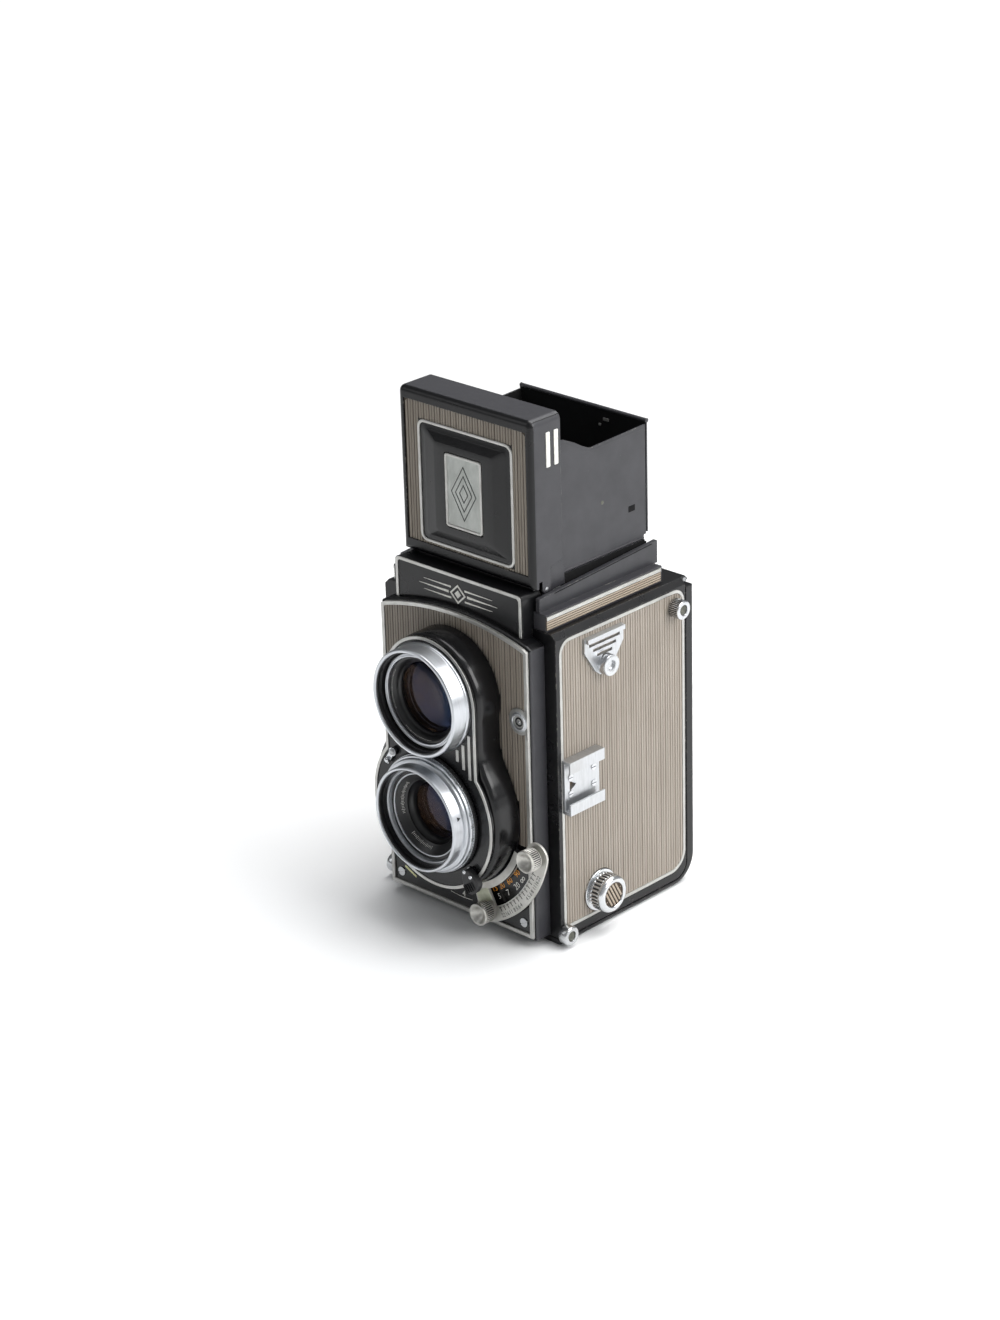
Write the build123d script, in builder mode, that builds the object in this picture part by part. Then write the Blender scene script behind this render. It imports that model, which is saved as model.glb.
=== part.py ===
"""Twin-lens reflex camera for 120 film, with its focusing hood open.

Frame (mm): origin at the mouth of the tripod socket, +X to the right of someone
facing the lenses, +Y towards the back of the camera, +Z up. Left and right are
as seen by that person. A "depth" is counted backwards from the face of the front
trim, so parts in front of the trim have negative depths. A place on a side view
is (depth, z); a place on a front view is (x, z).

Front-facing sketches extrude forwards, side sketches towards +X, plan sketches up.
"""
from build123d import *
import math
import os

os.makedirs("parts", exist_ok=True)

# ---------------------------------------------------------------- shared dimensions
TRIPOD_DEPTH = 45.0

BODY_HALF_W = 42.5
BODY_FRONT = 8.56
BODY_REAR = 78.0
BODY_BOTTOM = 2.7
BODY_TOP = 123.0
WALL = 2.0
BODY_INNER = BODY_HALF_W - WALL
SIDE_POCKET_X = BODY_HALF_W - 0.5  # floor of the side covering's pocket

VIEW_Z = 94.71  # viewing lens axis
TAKE_Z = 49.16  # taking lens axis
VIEW_CENTRE = (0, VIEW_Z)
TAKE_CENTRE = (0, TAKE_Z)

TRIM_HALF_W = 36.3
TRIM_BOTTOM = 4.07
TRIM_SIDE_TOP = 117.5
ARCH_HALF_W = 34.5
ARCH_FOOT = 118.5
ARCH_TOP = 123.7
TRIM_W = 1.5
PLATE_FRONT = 1.2
PLATE_MARGIN = 0.95

BOARD_FRONT = -12.85
BOARD_REAR = -11.75
BOARD_INNER_FACE = -10.35
BOARD_UP_R = 22.9
BOARD_LOW_R = 29.9
SKIRT_INSET = 2.15
SKIRT_WALL = 1.2
SKIRT_REAR = 6.0

ROD_R = 1.5
ROD_X = 21.0
ROD_Z = 11.0  # above and below the taking axis
ROD_PLACES = [(sx * ROD_X, TAKE_Z + sz * ROD_Z) for sx in (-1, 1) for sz in (-1, 1)]

SUPPLY = (29.7, 15.2)  # spool axes, (depth, z)
TAKEUP = (67.5, 100.5)
UPPER_STUD = (71.8, 113.9)
LOWER_STUD = (10.2, 4.75)

# Opening over the focusing screen
SCREEN_HALF_W = 29.0
SCREEN_FRONT = 15.0
SCREEN_REAR = 67.0

BACK_HINGE = (80.6, 121.4)
BACK_HINGE_BORE_R = 0.85

BUSH_FLANGE_R = 6.5
BUSH_FLANGE_H = 2.6
BUSH_R = 4.6
LATCH_DEPTH = 20.0

HOOD_HINGE = (13.4, 142.0)
LEFT_FLAP_Z = 137.9  # hinge heights of the side flaps
RIGHT_FLAP_Z = 139.0
FLAP_FRONT = 24.3
FLAP_T = 0.7

DIAGONAL = math.sqrt(0.5)
BOTH_SIDES = (1, -1)  # right, left


# ---------------------------------------------------------------- helpers
def save(piece, name):
    """Label a finished piece and write its STEP file."""
    piece.part.label = name
    export_step(piece.part, f"parts/{name}.step")


def model_y(depth):
    return depth - TRIPOD_DEPTH


def front(depth):
    """Plane facing the front of the camera; local x is X, local y is Z."""
    return Plane.XZ.offset(TRIPOD_DEPTH - depth)


def side(x):
    """Plane facing +X; local x is Y, local y is Z."""
    return Plane.YZ.offset(x)


def side_start(sign, inner, outer):
    """Lower X of a layer between |x| = inner and outer, on the side given by sign."""
    return inner if sign > 0 else -outer


def front_disc(centre, radius, depth, hole=0.0):
    """Front-facing disc or ring about (x, z)."""
    with BuildSketch(front(depth)) as sketch:
        with Locations(centre):
            Circle(radius)
            if hole:
                Circle(hole, mode=Mode.SUBTRACT)
    return sketch.sketch


def front_rect(x_min, x_max, z_min, z_max, depth):
    with BuildSketch(front(depth)) as sketch:
        with Locations(((x_min + x_max) / 2, (z_min + z_max) / 2)):
            Rectangle(x_max - x_min, z_max - z_min)
    return sketch.sketch


def plan_rect(x_min, x_max, depth_min, depth_max, z):
    with BuildSketch(Plane.XY.offset(z)) as sketch:
        with Locations(((x_min + x_max) / 2, model_y((depth_min + depth_max) / 2))):
            Rectangle(x_max - x_min, depth_max - depth_min)
    return sketch.sketch


def plan_disc(depth, radius, z):
    """Horizontal disc on the centre line of the camera."""
    with BuildSketch(Plane.XY.offset(z)) as sketch:
        with Locations((0, model_y(depth))):
            Circle(radius)
    return sketch.sketch


def side_face(x, points):
    """Polygon of (depth, z) points on the plane at x."""
    with BuildSketch(side(x)) as sketch:
        with BuildLine():
            Polyline(*[(model_y(depth), z) for depth, z in points], close=True)
        make_face()
    return sketch.sketch


def side_rect(x, depth_min, depth_max, z_min, z_max):
    return side_face(
        x,
        [(depth_min, z_min), (depth_max, z_min), (depth_max, z_max), (depth_min, z_max)],
    )


def side_disc(x, centre, radius, hole=0.0):
    """Disc or ring about an X-wise axis at (depth, z), on the plane at x."""
    depth, z = centre
    with BuildSketch(side(x)) as sketch:
        with Locations((model_y(depth), z)):
            Circle(radius)
            if hole:
                Circle(hole, mode=Mode.SUBTRACT)
    return sketch.sketch


def knurled_face(plane, centre, radius, teeth, notch):
    """Disc with V notches round its edge; centre is in the plane's own axes."""
    with BuildSketch(plane) as sketch:
        with Locations(centre):
            Circle(radius)
            with PolarLocations(radius, teeth):
                Rectangle(notch * 1.4, notch * 1.4, rotation=45, mode=Mode.SUBTRACT)
    return sketch.sketch


def side_knurled(x, centre, radius, teeth, notch):
    """Knurled disc about an X-wise axis at (depth, z)."""
    return knurled_face(side(x), (model_y(centre[0]), centre[1]), radius, teeth, notch)


def screen_face(grow, z):
    """Outline of the focusing screen's opening, grown all round."""
    half_width = SCREEN_HALF_W + grow
    return plan_rect(-half_width, half_width, SCREEN_FRONT - grow, SCREEN_REAR + grow, z)


def arch_face(grow, depth):
    """Front outline: straight sides, clipped top corners and a low arch."""
    with BuildSketch(front(depth)) as sketch:
        with BuildLine():
            Polyline(
                (-ARCH_HALF_W, ARCH_FOOT),
                (-TRIM_HALF_W, TRIM_SIDE_TOP),
                (-TRIM_HALF_W, TRIM_BOTTOM),
                (TRIM_HALF_W, TRIM_BOTTOM),
                (TRIM_HALF_W, TRIM_SIDE_TOP),
                (ARCH_HALF_W, ARCH_FOOT),
            )
            ThreePointArc((ARCH_HALF_W, ARCH_FOOT), (0, ARCH_TOP), (-ARCH_HALF_W, ARCH_FOOT))
        make_face()
        if grow:
            offset(amount=grow, kind=Kind.INTERSECTION)
    return sketch.sketch


def board_face(grow, depth):
    """Lens board outline: a circle round each lens joined by straight sides."""
    with BuildSketch(front(depth)) as sketch:
        with Locations(VIEW_CENTRE):
            Circle(BOARD_UP_R + grow)
        with Locations(TAKE_CENTRE):
            Circle(BOARD_LOW_R + grow)
        with Locations((0, (VIEW_Z + TAKE_Z) / 2)):
            Rectangle(2 * (BOARD_UP_R + grow), VIEW_Z - TAKE_Z)
    return sketch.sketch


SHROUD_UP_R = 23.4
SHROUD_LOW_R = 31.0
# Right-hand edge of the shroud between its circles, (x, z) from the top down
SHROUD_EDGE = [
    (22.8, 92.0), (22.8, 78.0), (23.4, 75.0), (25.2, 70.9),
    (27.4, 66.9), (29.3, 62.3), (30.6, 57.5), (30.9, 50.0),
]


def shroud_face(grow, depth):
    """Shroud outline: two circles and a waist. Only the circles are grown."""
    with BuildSketch(front(depth)) as sketch:
        with Locations(VIEW_CENTRE):
            Circle(SHROUD_UP_R + grow)
        with Locations(TAKE_CENTRE):
            Circle(SHROUD_LOW_R + grow)
        with BuildLine():
            Polyline(*[(-x, z) for x, z in SHROUD_EDGE], *reversed(SHROUD_EDGE), close=True)
        make_face()
    return sketch.sketch


# Side panel: limits in Y and Z, and its corner radii
PANEL_FRONT, PANEL_REAR = model_y(10.4), model_y(77.6)
PANEL_BOTTOM, PANEL_TOP = 5.9, 120.3
PANEL_TOP_R = 5.5
PANEL_FRONT_LOW_R = 2.5
PANEL_REAR_LOW_R = 8.0


def side_panel_face(x, grow):
    """Side panel outline with its four corner radii, grown all round."""
    top_r, front_r, rear_r = PANEL_TOP_R, PANEL_FRONT_LOW_R, PANEL_REAR_LOW_R
    inset = 1 - DIAGONAL  # an arc's middle from its corner's sides, per unit of radius
    top_in, front_in, rear_in = top_r * inset, front_r * inset, rear_r * inset
    front_foot = (PANEL_FRONT + front_r, PANEL_BOTTOM)
    rear_foot = (PANEL_REAR - rear_r, PANEL_BOTTOM)
    rear_low = (PANEL_REAR, PANEL_BOTTOM + rear_r)
    rear_high = (PANEL_REAR, PANEL_TOP - top_r)
    rear_top = (PANEL_REAR - top_r, PANEL_TOP)
    front_top = (PANEL_FRONT + top_r, PANEL_TOP)
    front_high = (PANEL_FRONT, PANEL_TOP - top_r)
    front_low = (PANEL_FRONT, PANEL_BOTTOM + front_r)
    with BuildSketch(side(x)) as sketch:
        with BuildLine():
            Line(front_foot, rear_foot)
            ThreePointArc(rear_foot, (PANEL_REAR - rear_in, PANEL_BOTTOM + rear_in), rear_low)
            Line(rear_low, rear_high)
            ThreePointArc(rear_high, (PANEL_REAR - top_in, PANEL_TOP - top_in), rear_top)
            Line(rear_top, front_top)
            ThreePointArc(front_top, (PANEL_FRONT + top_in, PANEL_TOP - top_in), front_high)
            Line(front_high, front_low)
            ThreePointArc(
                front_low, (PANEL_FRONT + front_in, PANEL_BOTTOM + front_in), front_foot
            )
        make_face()
        if grow:
            offset(amount=grow, kind=Kind.ARC)
    return sketch.sketch


def taking_polar(radius, angle):
    """(x, z) of a point at a radius and angle (degrees) about the taking axis."""
    turn = math.radians(angle)
    return (radius * math.cos(turn), TAKE_Z + radius * math.sin(turn))


def sector_face(r_in, r_out, start, end, depth):
    """Front-facing annular sector about the taking axis between two angles."""
    middle = (start + end) / 2
    outer = [taking_polar(r_out, angle) for angle in (start, middle, end)]
    inner = [taking_polar(r_in, angle) for angle in (end, middle, start)]
    with BuildSketch(front(depth)) as sketch:
        with BuildLine():
            ThreePointArc(*outer)
            Line(outer[-1], inner[0])
            ThreePointArc(*inner)
            Line(inner[-1], outer[0])
        make_face()
    return sketch.sketch


def lens_axis(axis_z):
    return Axis((0, 0, axis_z), (0, 1, 0))


def element_face(axis_z, radius, front_vertex, front_sag, rear_vertex, rear_sag):
    """Half section of a lens element: vertex depths, and sags at the rim radius
    (a positive sag makes that face bulge outwards)."""

    def arc_points(vertex, sag, direction):
        """Middle and rim end of a spherical face; direction is +1 for the front face."""
        sphere_r = (radius * radius + sag * sag) / (2 * sag)
        half = math.asin(radius / sphere_r) / 2
        middle_y = model_y(vertex + direction * sphere_r * (1 - math.cos(half)))
        middle = (middle_y, axis_z + sphere_r * math.sin(half))
        return middle, (model_y(vertex + direction * sag), axis_z + radius)

    front_middle, front_rim = arc_points(front_vertex, front_sag, 1)
    rear_middle, rear_rim = arc_points(rear_vertex, rear_sag, -1)
    front_point = (model_y(front_vertex), axis_z)
    rear_point = (model_y(rear_vertex), axis_z)
    with BuildSketch(Plane.YZ) as sketch:
        with BuildLine():
            Line(rear_point, front_point)
            ThreePointArc(front_point, front_middle, front_rim)
            Line(front_rim, rear_rim)
            ThreePointArc(rear_rim, rear_middle, rear_point)
        make_face()
    return sketch.sketch


def turned_piece(name, axis_z, profile):
    """Piece turned about a lens axis from (radius, depth) points."""
    with BuildPart() as piece:
        with BuildSketch(Plane.YZ):
            with BuildLine():
                Polyline(*[(model_y(depth), axis_z + r) for r, depth in profile], close=True)
            make_face()
        revolve(axis=lens_axis(axis_z))
    save(piece, name)


def lens_piece(name, axis_z, elements):
    """Lens from rows of (radius, front vertex, front sag, rear vertex, rear sag)."""
    with BuildPart() as piece:
        for element in elements:
            revolve(element_face(axis_z, *element), axis=lens_axis(axis_z))
    save(piece, name)


# ---------------------------------------------------------------- body
BODY_CHAMFER = 2.0
BODY_REAR_LOW_R = 6.0
BRIDGE_FRONT, BRIDGE_REAR = 38.8, 52.0
BRIDGE_H = 3.3
STRIP_HALF_W = 7.2
COVER_FRONT = BODY_FRONT + 0.2  # front end of the floor strip and of the back's floor
PIN_R, PIN_LEN = 2.4, 9.6
LUG_X = (-40.0, 16.0)
LUG_LEN = 24.0
# Lug section, (depth, z)
LUG_PROFILE = [
    (74, 121), (74, 123), (80.6, 123), (82.2, 121.4), (80.6, 119.8), (78, 119.8), (78, 121),
]

# Body casting: front wall, side walls and top, open at the back and bottom,
# with the cross bridge and floor strip that carry the tripod bush.
with BuildPart() as body_shell:
    with BuildSketch(front(BODY_REAR)):
        with BuildLine():
            Polyline(
                (-BODY_HALF_W, BODY_BOTTOM),
                (BODY_HALF_W, BODY_BOTTOM),
                (BODY_HALF_W, BODY_TOP - BODY_CHAMFER),
                (BODY_HALF_W - BODY_CHAMFER, BODY_TOP),
                (-BODY_HALF_W + BODY_CHAMFER, BODY_TOP),
                (-BODY_HALF_W, BODY_TOP - BODY_CHAMFER),
                close=True,
            )
        make_face()
    extrude(amount=BODY_REAR - BODY_FRONT)
    # lower rear edge, rounded to lie inside the back's corner
    rear_low_edge = (
        body_shell.edges()
        .filter_by(Axis.X)
        .filter_by_position(Axis.Y, model_y(BODY_REAR) - 0.1, model_y(BODY_REAR) + 0.1)
        .sort_by(Axis.Z)[0]
    )
    fillet(rear_low_edge, BODY_REAR_LOW_R)
    extrude(
        front_rect(-BODY_INNER, BODY_INNER, 0, BODY_TOP - WALL, BODY_REAR),
        amount=BODY_REAR - BODY_FRONT - WALL,
        mode=Mode.SUBTRACT,
    )
    extrude(screen_face(0, BODY_TOP - WALL), amount=WALL, mode=Mode.SUBTRACT)
    # lens openings and guide rod bushes in the front wall
    for centre, radius in ((VIEW_CENTRE, 18.5), (TAKE_CENTRE, 20.0)):
        extrude(front_disc(centre, radius, BODY_FRONT + WALL), amount=WALL, mode=Mode.SUBTRACT)
    with BuildSketch(front(BODY_FRONT + WALL)):
        with Locations(*ROD_PLACES):
            Circle(ROD_R + 0.1)
    extrude(amount=WALL, mode=Mode.SUBTRACT)
    # bridge, floor strip and the strip's raised front end
    extrude(
        plan_rect(-BODY_INNER, BODY_INNER, BRIDGE_FRONT, BRIDGE_REAR, BODY_BOTTOM),
        amount=BRIDGE_H,
    )
    extrude(
        plan_rect(-STRIP_HALF_W, STRIP_HALF_W, COVER_FRONT, BRIDGE_REAR, 0), amount=BODY_BOTTOM
    )
    extrude(plan_rect(-STRIP_HALF_W, STRIP_HALF_W, COVER_FRONT, 12, 0), amount=6.0)
    # seats of the tripod bush and of the latch: (depth, radius, height)
    for depth, radius, height in (
        (TRIPOD_DEPTH, BUSH_FLANGE_R, BUSH_FLANGE_H),
        (TRIPOD_DEPTH, BUSH_R, 6.2),
        (LATCH_DEPTH, 6.1, 2.0),
        (LATCH_DEPTH, 2.1, 3.0),
    ):
        extrude(plan_disc(depth, radius, 0), amount=height, mode=Mode.SUBTRACT)
    # a fixed pin for each spool and a bore for each knob's shaft
    extrude(side_disc(31.0, TAKEUP, PIN_R), amount=PIN_LEN)
    extrude(side_disc(-40.6, SUPPLY, PIN_R), amount=PIN_LEN)
    extrude(side_disc(40.4, SUPPLY, 2.5), amount=WALL + 0.2, mode=Mode.SUBTRACT)
    extrude(side_disc(-42.6, TAKEUP, 3.1), amount=WALL + 0.2, mode=Mode.SUBTRACT)
    # pockets for the side coverings
    for sign in BOTH_SIDES:
        x_start = side_start(sign, SIDE_POCKET_X, BODY_HALF_W + 0.1)
        extrude(side_panel_face(x_start, 0), amount=0.6, mode=Mode.SUBTRACT)
    # hinge lugs for the back
    for x_start in LUG_X:
        extrude(side_face(x_start, LUG_PROFILE), amount=LUG_LEN)
        extrude(
            side_disc(x_start, BACK_HINGE, BACK_HINGE_BORE_R), amount=LUG_LEN, mode=Mode.SUBTRACT
        )
save(body_shell, "body_shell")

# Plate that carries the mirror, set at 45 degrees from wall to wall.
with BuildPart() as mirror_frame:
    extrude(
        side_face(-BODY_INNER, [(16.5, 69.6), (17.7, 68.4), (65.0, 115.7), (63.8, 116.9)]),
        amount=2 * BODY_INNER,
    )
save(mirror_frame, "mirror_frame")

MIRROR_CENTRE = (40.15, 93.25)  # (depth, z)
MIRROR_HALF_LEN = 31
MIRROR_FRONT_HALF_W = 21
MIRROR_REAR_HALF_W = 29

# Mirror, narrower at its front end like the light cone it catches.
with BuildPart() as mirror:
    with BuildSketch(
        Plane(
            origin=(0, model_y(MIRROR_CENTRE[0]), MIRROR_CENTRE[1]),
            x_dir=(1, 0, 0),
            z_dir=(0, -1, 1),
        )
    ):
        with BuildLine():
            Polyline(
                (-MIRROR_FRONT_HALF_W, -MIRROR_HALF_LEN),
                (MIRROR_FRONT_HALF_W, -MIRROR_HALF_LEN),
                (MIRROR_REAR_HALF_W, MIRROR_HALF_LEN),
                (-MIRROR_REAR_HALF_W, MIRROR_HALF_LEN),
                close=True,
            )
        make_face()
    extrude(amount=1.5)
save(mirror, "mirror")

with BuildPart() as ground_glass:
    extrude(screen_face(1, BODY_TOP), amount=1.6)
    chamfer(ground_glass.edges().filter_by(Axis.Z), 0.8)
save(ground_glass, "ground_glass")

CHAMBER_ENDS = ((12.0, 30.0), (71.0, 62.0))  # (depth, outer side) of each square end
CHAMBER_WALL = 1.2
FRAME_SIZE = 56.0
GATE_REAR = 73.2
GATE_T = 2.2
GATE_H = 62.0
RAIL_W = 3.0
RAIL_H = 0.4

# Tapered light chamber from the lens to the film gate, with the gate plate.
with BuildPart() as light_chamber:
    for reduction, mode in ((0, Mode.ADD), (2 * CHAMBER_WALL, Mode.SUBTRACT)):
        for depth, size in CHAMBER_ENDS:
            with BuildSketch(front(depth)):
                with Locations(TAKE_CENTRE):
                    Rectangle(size - reduction, size - reduction)
        loft(mode=mode)
    with BuildSketch(front(GATE_REAR)):
        with Locations(TAKE_CENTRE):
            Rectangle(2 * BODY_INNER, GATE_H)
            Rectangle(FRAME_SIZE, FRAME_SIZE, mode=Mode.SUBTRACT)
    extrude(amount=GATE_T)
    # raised rails that the film's edges run on
    for x_start in (-32.5, 29.5):
        extrude(
            front_rect(
                x_start, x_start + RAIL_W, TAKE_Z - GATE_H / 2, TAKE_Z + GATE_H / 2,
                GATE_REAR + RAIL_H,
            ),
            amount=RAIL_H,
        )
save(light_chamber, "light_chamber")

ROLLER_R = 3.4
ROLLER_HALF_LEN = 31.0
RELIEF_HALF_LEN = 27.5
AXLE_HALF_LEN = 40.3


def film_roller(name, centre):
    """Roller with a relieved middle, on a thin axle."""
    with BuildPart() as piece:
        extrude(side_disc(-ROLLER_HALF_LEN, centre, ROLLER_R), amount=2 * ROLLER_HALF_LEN)
        extrude(
            side_disc(-RELIEF_HALF_LEN, centre, ROLLER_R + 0.1, ROLLER_R - 0.35),
            amount=2 * RELIEF_HALF_LEN,
            mode=Mode.SUBTRACT,
        )
        extrude(side_disc(-AXLE_HALF_LEN, centre, 1.0), amount=2 * AXLE_HALF_LEN)
    save(piece, name)


film_roller("film_roller_lower", (70.4, 13.4))
film_roller("film_roller_upper", (70.4, 84.4))

SPOOL_LEN = 65.6
SPOOL_FLANGE_R = 12.5
SPOOL_FLANGE_T = 1.6
SPOOL_CORE_R = 5.9
SPOOL_BORE_R = 2.5
SPOOL_SLOT_DEPTH = 3.0
PAPER_SLIT_LEN = 56.0


def spool(name, centre):
    """Standard 120 spool: a core with two flanges, bored and slotted at the ends."""
    half = SPOOL_LEN / 2
    sketch_centre = (model_y(centre[0]), centre[1])
    with BuildPart() as piece:
        extrude(side_disc(-half, centre, SPOOL_CORE_R), amount=SPOOL_LEN)
        for x_start in (-half, half - SPOOL_FLANGE_T):
            extrude(side_disc(x_start, centre, SPOOL_FLANGE_R), amount=SPOOL_FLANGE_T)
        extrude(side_disc(-half, centre, SPOOL_BORE_R), amount=SPOOL_LEN, mode=Mode.SUBTRACT)
        for x_start in (-half, half - SPOOL_SLOT_DEPTH):
            with BuildSketch(side(x_start)):
                with Locations(sketch_centre):
                    Rectangle(2.0, 9.4)
            extrude(amount=SPOOL_SLOT_DEPTH, mode=Mode.SUBTRACT)
        # slit that takes the end of the backing paper
        with BuildSketch(side(-PAPER_SLIT_LEN / 2)):
            with Locations(sketch_centre):
                Rectangle(1.2, 20)
        extrude(amount=PAPER_SLIT_LEN, mode=Mode.SUBTRACT)
    save(piece, name)


spool("supply_spool", SUPPLY)
spool("takeup_spool", TAKEUP)

# Winding knob on the left side with its shaft and driving blade.
with BuildPart() as wind_knob:
    extrude(side_disc(-44.2, TAKEUP, 9.0), amount=1.6)
    extrude(side_knurled(-51.8, TAKEUP, radius=10.0, teeth=40, notch=0.9), amount=7.6)
    extrude(side_disc(-52.6, TAKEUP, 8.4), amount=0.8)
    extrude(side_disc(-52.8, TAKEUP, 6.6), amount=0.7, mode=Mode.SUBTRACT)
    extrude(side_disc(-42.7, TAKEUP, 3.0), amount=9.4)
    with BuildSketch(side(-33.4)):
        with Locations((model_y(TAKEUP[0]), TAKEUP[1])):
            Rectangle(1.5, 5.6)
    extrude(amount=3.0)
save(wind_knob, "wind_knob")

# Supply side knob, on the right, with the shaft that carries the spool.
with BuildPart() as supply_knob:
    extrude(side_disc(42.2, SUPPLY, 8.0), amount=1.8)
    extrude(side_knurled(44.0, SUPPLY, radius=6.9, teeth=32, notch=0.8), amount=5.0)
    extrude(side_disc(49.0, SUPPLY, 6.1), amount=0.8)
    extrude(side_disc(49.2, SUPPLY, 4.7), amount=0.7, mode=Mode.SUBTRACT)
    extrude(side_disc(29.5, SUPPLY, 2.4), amount=12.8)
save(supply_knob, "supply_knob")

STUD_ROOT_X = 42.6
# (centre, outer x, foot radius, foot's inner x)
STUDS = ((UPPER_STUD, 47.5, 2.0, 42.0), (LOWER_STUD, 46.5, 1.6, 42.5))

# Small knurled studs at opposite corners of both sides, for the carrying case.
with BuildPart() as case_studs:
    for sign in BOTH_SIDES:
        for centre, outer_x, foot_r, foot_x in STUDS:
            x_start = side_start(sign, STUD_ROOT_X, outer_x)
            extrude(
                side_knurled(x_start, centre, radius=3.7, teeth=22, notch=0.6),
                amount=outer_x - STUD_ROOT_X,
            )
            x_start = side_start(sign, outer_x - 1.0, outer_x + 0.01)
            extrude(side_disc(x_start, centre, 1.8), amount=1.01, mode=Mode.SUBTRACT)
            x_start = side_start(sign, foot_x, 42.7)
            extrude(side_disc(x_start, centre, foot_r), amount=42.7 - foot_x)
save(case_studs, "case_studs")

TRIPOD_R = 2.75  # 1/4 inch socket, bore between minor and major radius
TRIPOD_LEN = 7.0

with BuildPart() as tripod_bush:
    extrude(plan_disc(TRIPOD_DEPTH, BUSH_FLANGE_R, 0), amount=BUSH_FLANGE_H)
    extrude(plan_disc(TRIPOD_DEPTH, BUSH_R, BUSH_FLANGE_H), amount=6.0)
    extrude(plan_disc(TRIPOD_DEPTH, TRIPOD_R, 0), amount=TRIPOD_LEN, mode=Mode.SUBTRACT)
save(tripod_bush, "tripod_bush")

# ---------------------------------------------------------------- front
FLASH_SOCKET = (32.2, 90.0)
FLASH_EAR_R = 5.1
COVERING_SPLIT_Z = 40.5  # covering above, scale panel below
SCALE_PANEL_T = 0.5
COVERING_T = 0.7
PANEL_SCREWS = ((-31.5, 9.2), (31.5, 9.2))

with BuildPart() as front_plate:
    extrude(arch_face(PLATE_MARGIN, BODY_FRONT), amount=BODY_FRONT - PLATE_FRONT)
    # front edges, all but the bottom one
    chamfer(front_plate.faces().sort_by(Axis.Y)[0].edges().sort_by(Axis.Z)[1:], 0.5)
    extrude(
        board_face(-SKIRT_INSET + 0.3, BODY_FRONT),
        amount=BODY_FRONT - PLATE_FRONT,
        mode=Mode.SUBTRACT,
    )
save(front_plate, "front_plate")

with BuildPart() as front_trim:
    extrude(arch_face(0, PLATE_FRONT), amount=PLATE_FRONT)
    extrude(arch_face(-TRIM_W, PLATE_FRONT), amount=PLATE_FRONT, mode=Mode.SUBTRACT)
    # ear that wraps the flash socket, cut off at the trim's outer side
    extrude(front_disc(FLASH_SOCKET, FLASH_EAR_R, PLATE_FRONT), amount=PLATE_FRONT)
    extrude(front_disc(FLASH_SOCKET, 3.9, PLATE_FRONT), amount=PLATE_FRONT, mode=Mode.SUBTRACT)
    extrude(
        front_rect(TRIM_HALF_W, TRIM_HALF_W + 10, 84, 96, PLATE_FRONT),
        amount=PLATE_FRONT,
        mode=Mode.SUBTRACT,
    )
save(front_trim, "front_trim")

with BuildPart() as front_covering:
    extrude(arch_face(-TRIM_W, PLATE_FRONT), amount=COVERING_T)
    for cutout in (
        front_rect(-40, 40, 0, COVERING_SPLIT_Z, PLATE_FRONT),
        shroud_face(0.05, PLATE_FRONT),
        front_disc(FLASH_SOCKET, FLASH_EAR_R + 0.05, PLATE_FRONT),
    ):
        extrude(cutout, amount=COVERING_T, mode=Mode.SUBTRACT)
save(front_covering, "front_covering")

with BuildPart() as scale_panel:
    extrude(arch_face(-TRIM_W, PLATE_FRONT), amount=SCALE_PANEL_T)
    for cutout in (
        front_rect(-40, 40, COVERING_SPLIT_Z - 0.05, 130, PLATE_FRONT),
        shroud_face(0.05, PLATE_FRONT),
    ):
        extrude(cutout, amount=SCALE_PANEL_T, mode=Mode.SUBTRACT)
    with BuildSketch(front(PLATE_FRONT)):
        with Locations(*PANEL_SCREWS):
            Circle(1.8)
    extrude(amount=SCALE_PANEL_T, mode=Mode.SUBTRACT)
save(scale_panel, "scale_panel")

SHOE_BASE_X = 42.55
SHOE_BASE_T = 1.25
SHOE_FACE_X = SHOE_BASE_X + SHOE_BASE_T

# Slotted screws: two in the lower panel and four in the accessory shoe.
with BuildPart() as screws:
    for centre in PANEL_SCREWS:
        extrude(front_disc(centre, 1.75, PLATE_FRONT), amount=0.9)
        with BuildSketch(front(0.55)):
            with Locations(centre):
                Rectangle(3.6, 0.45, rotation=28)
        extrude(amount=0.4, mode=Mode.SUBTRACT)
    for depth in (13.6, 25.8):
        for z in (60.4, 66.8):
            extrude(side_disc(SHOE_FACE_X, (depth, z), 1.3), amount=0.35)
            with BuildSketch(side(SHOE_FACE_X + 0.1)):
                with Locations((model_y(depth), z)):
                    Rectangle(2.7, 0.4)
            extrude(amount=0.4, mode=Mode.SUBTRACT)
save(screws, "screws")

SHROUD_FRONT = -11.5
SHROUD_REAR = -0.4
NIPPLE = (-6.8, 79.0)  # cable release nipple, (depth, z)

# Fixed shroud that the lens board slides out of.
with BuildPart() as lens_shroud:
    extrude(shroud_face(0, SHROUD_REAR), amount=SHROUD_REAR - SHROUD_FRONT)
    chamfer(lens_shroud.faces().sort_by(Axis.Y)[0].edges(), 0.9)
    # narrow foot down to the front plate, then the opening for the lens board
    extrude(board_face(-SKIRT_INSET + 0.75, PLATE_FRONT), amount=PLATE_FRONT - SHROUD_REAR)
    extrude(
        board_face(-SKIRT_INSET + 0.15, PLATE_FRONT),
        amount=PLATE_FRONT - SHROUD_FRONT,
        mode=Mode.SUBTRACT,
    )
    # cable release nipple on the left of the waist
    extrude(side_disc(-28.6, NIPPLE, 1.5), amount=7.0)
    extrude(side_disc(-31.2, NIPPLE, 2.3), amount=2.8)
    extrude(side_disc(-31.3, NIPPLE, 0.9), amount=3.0, mode=Mode.SUBTRACT)
save(lens_shroud, "lens_shroud")

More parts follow.
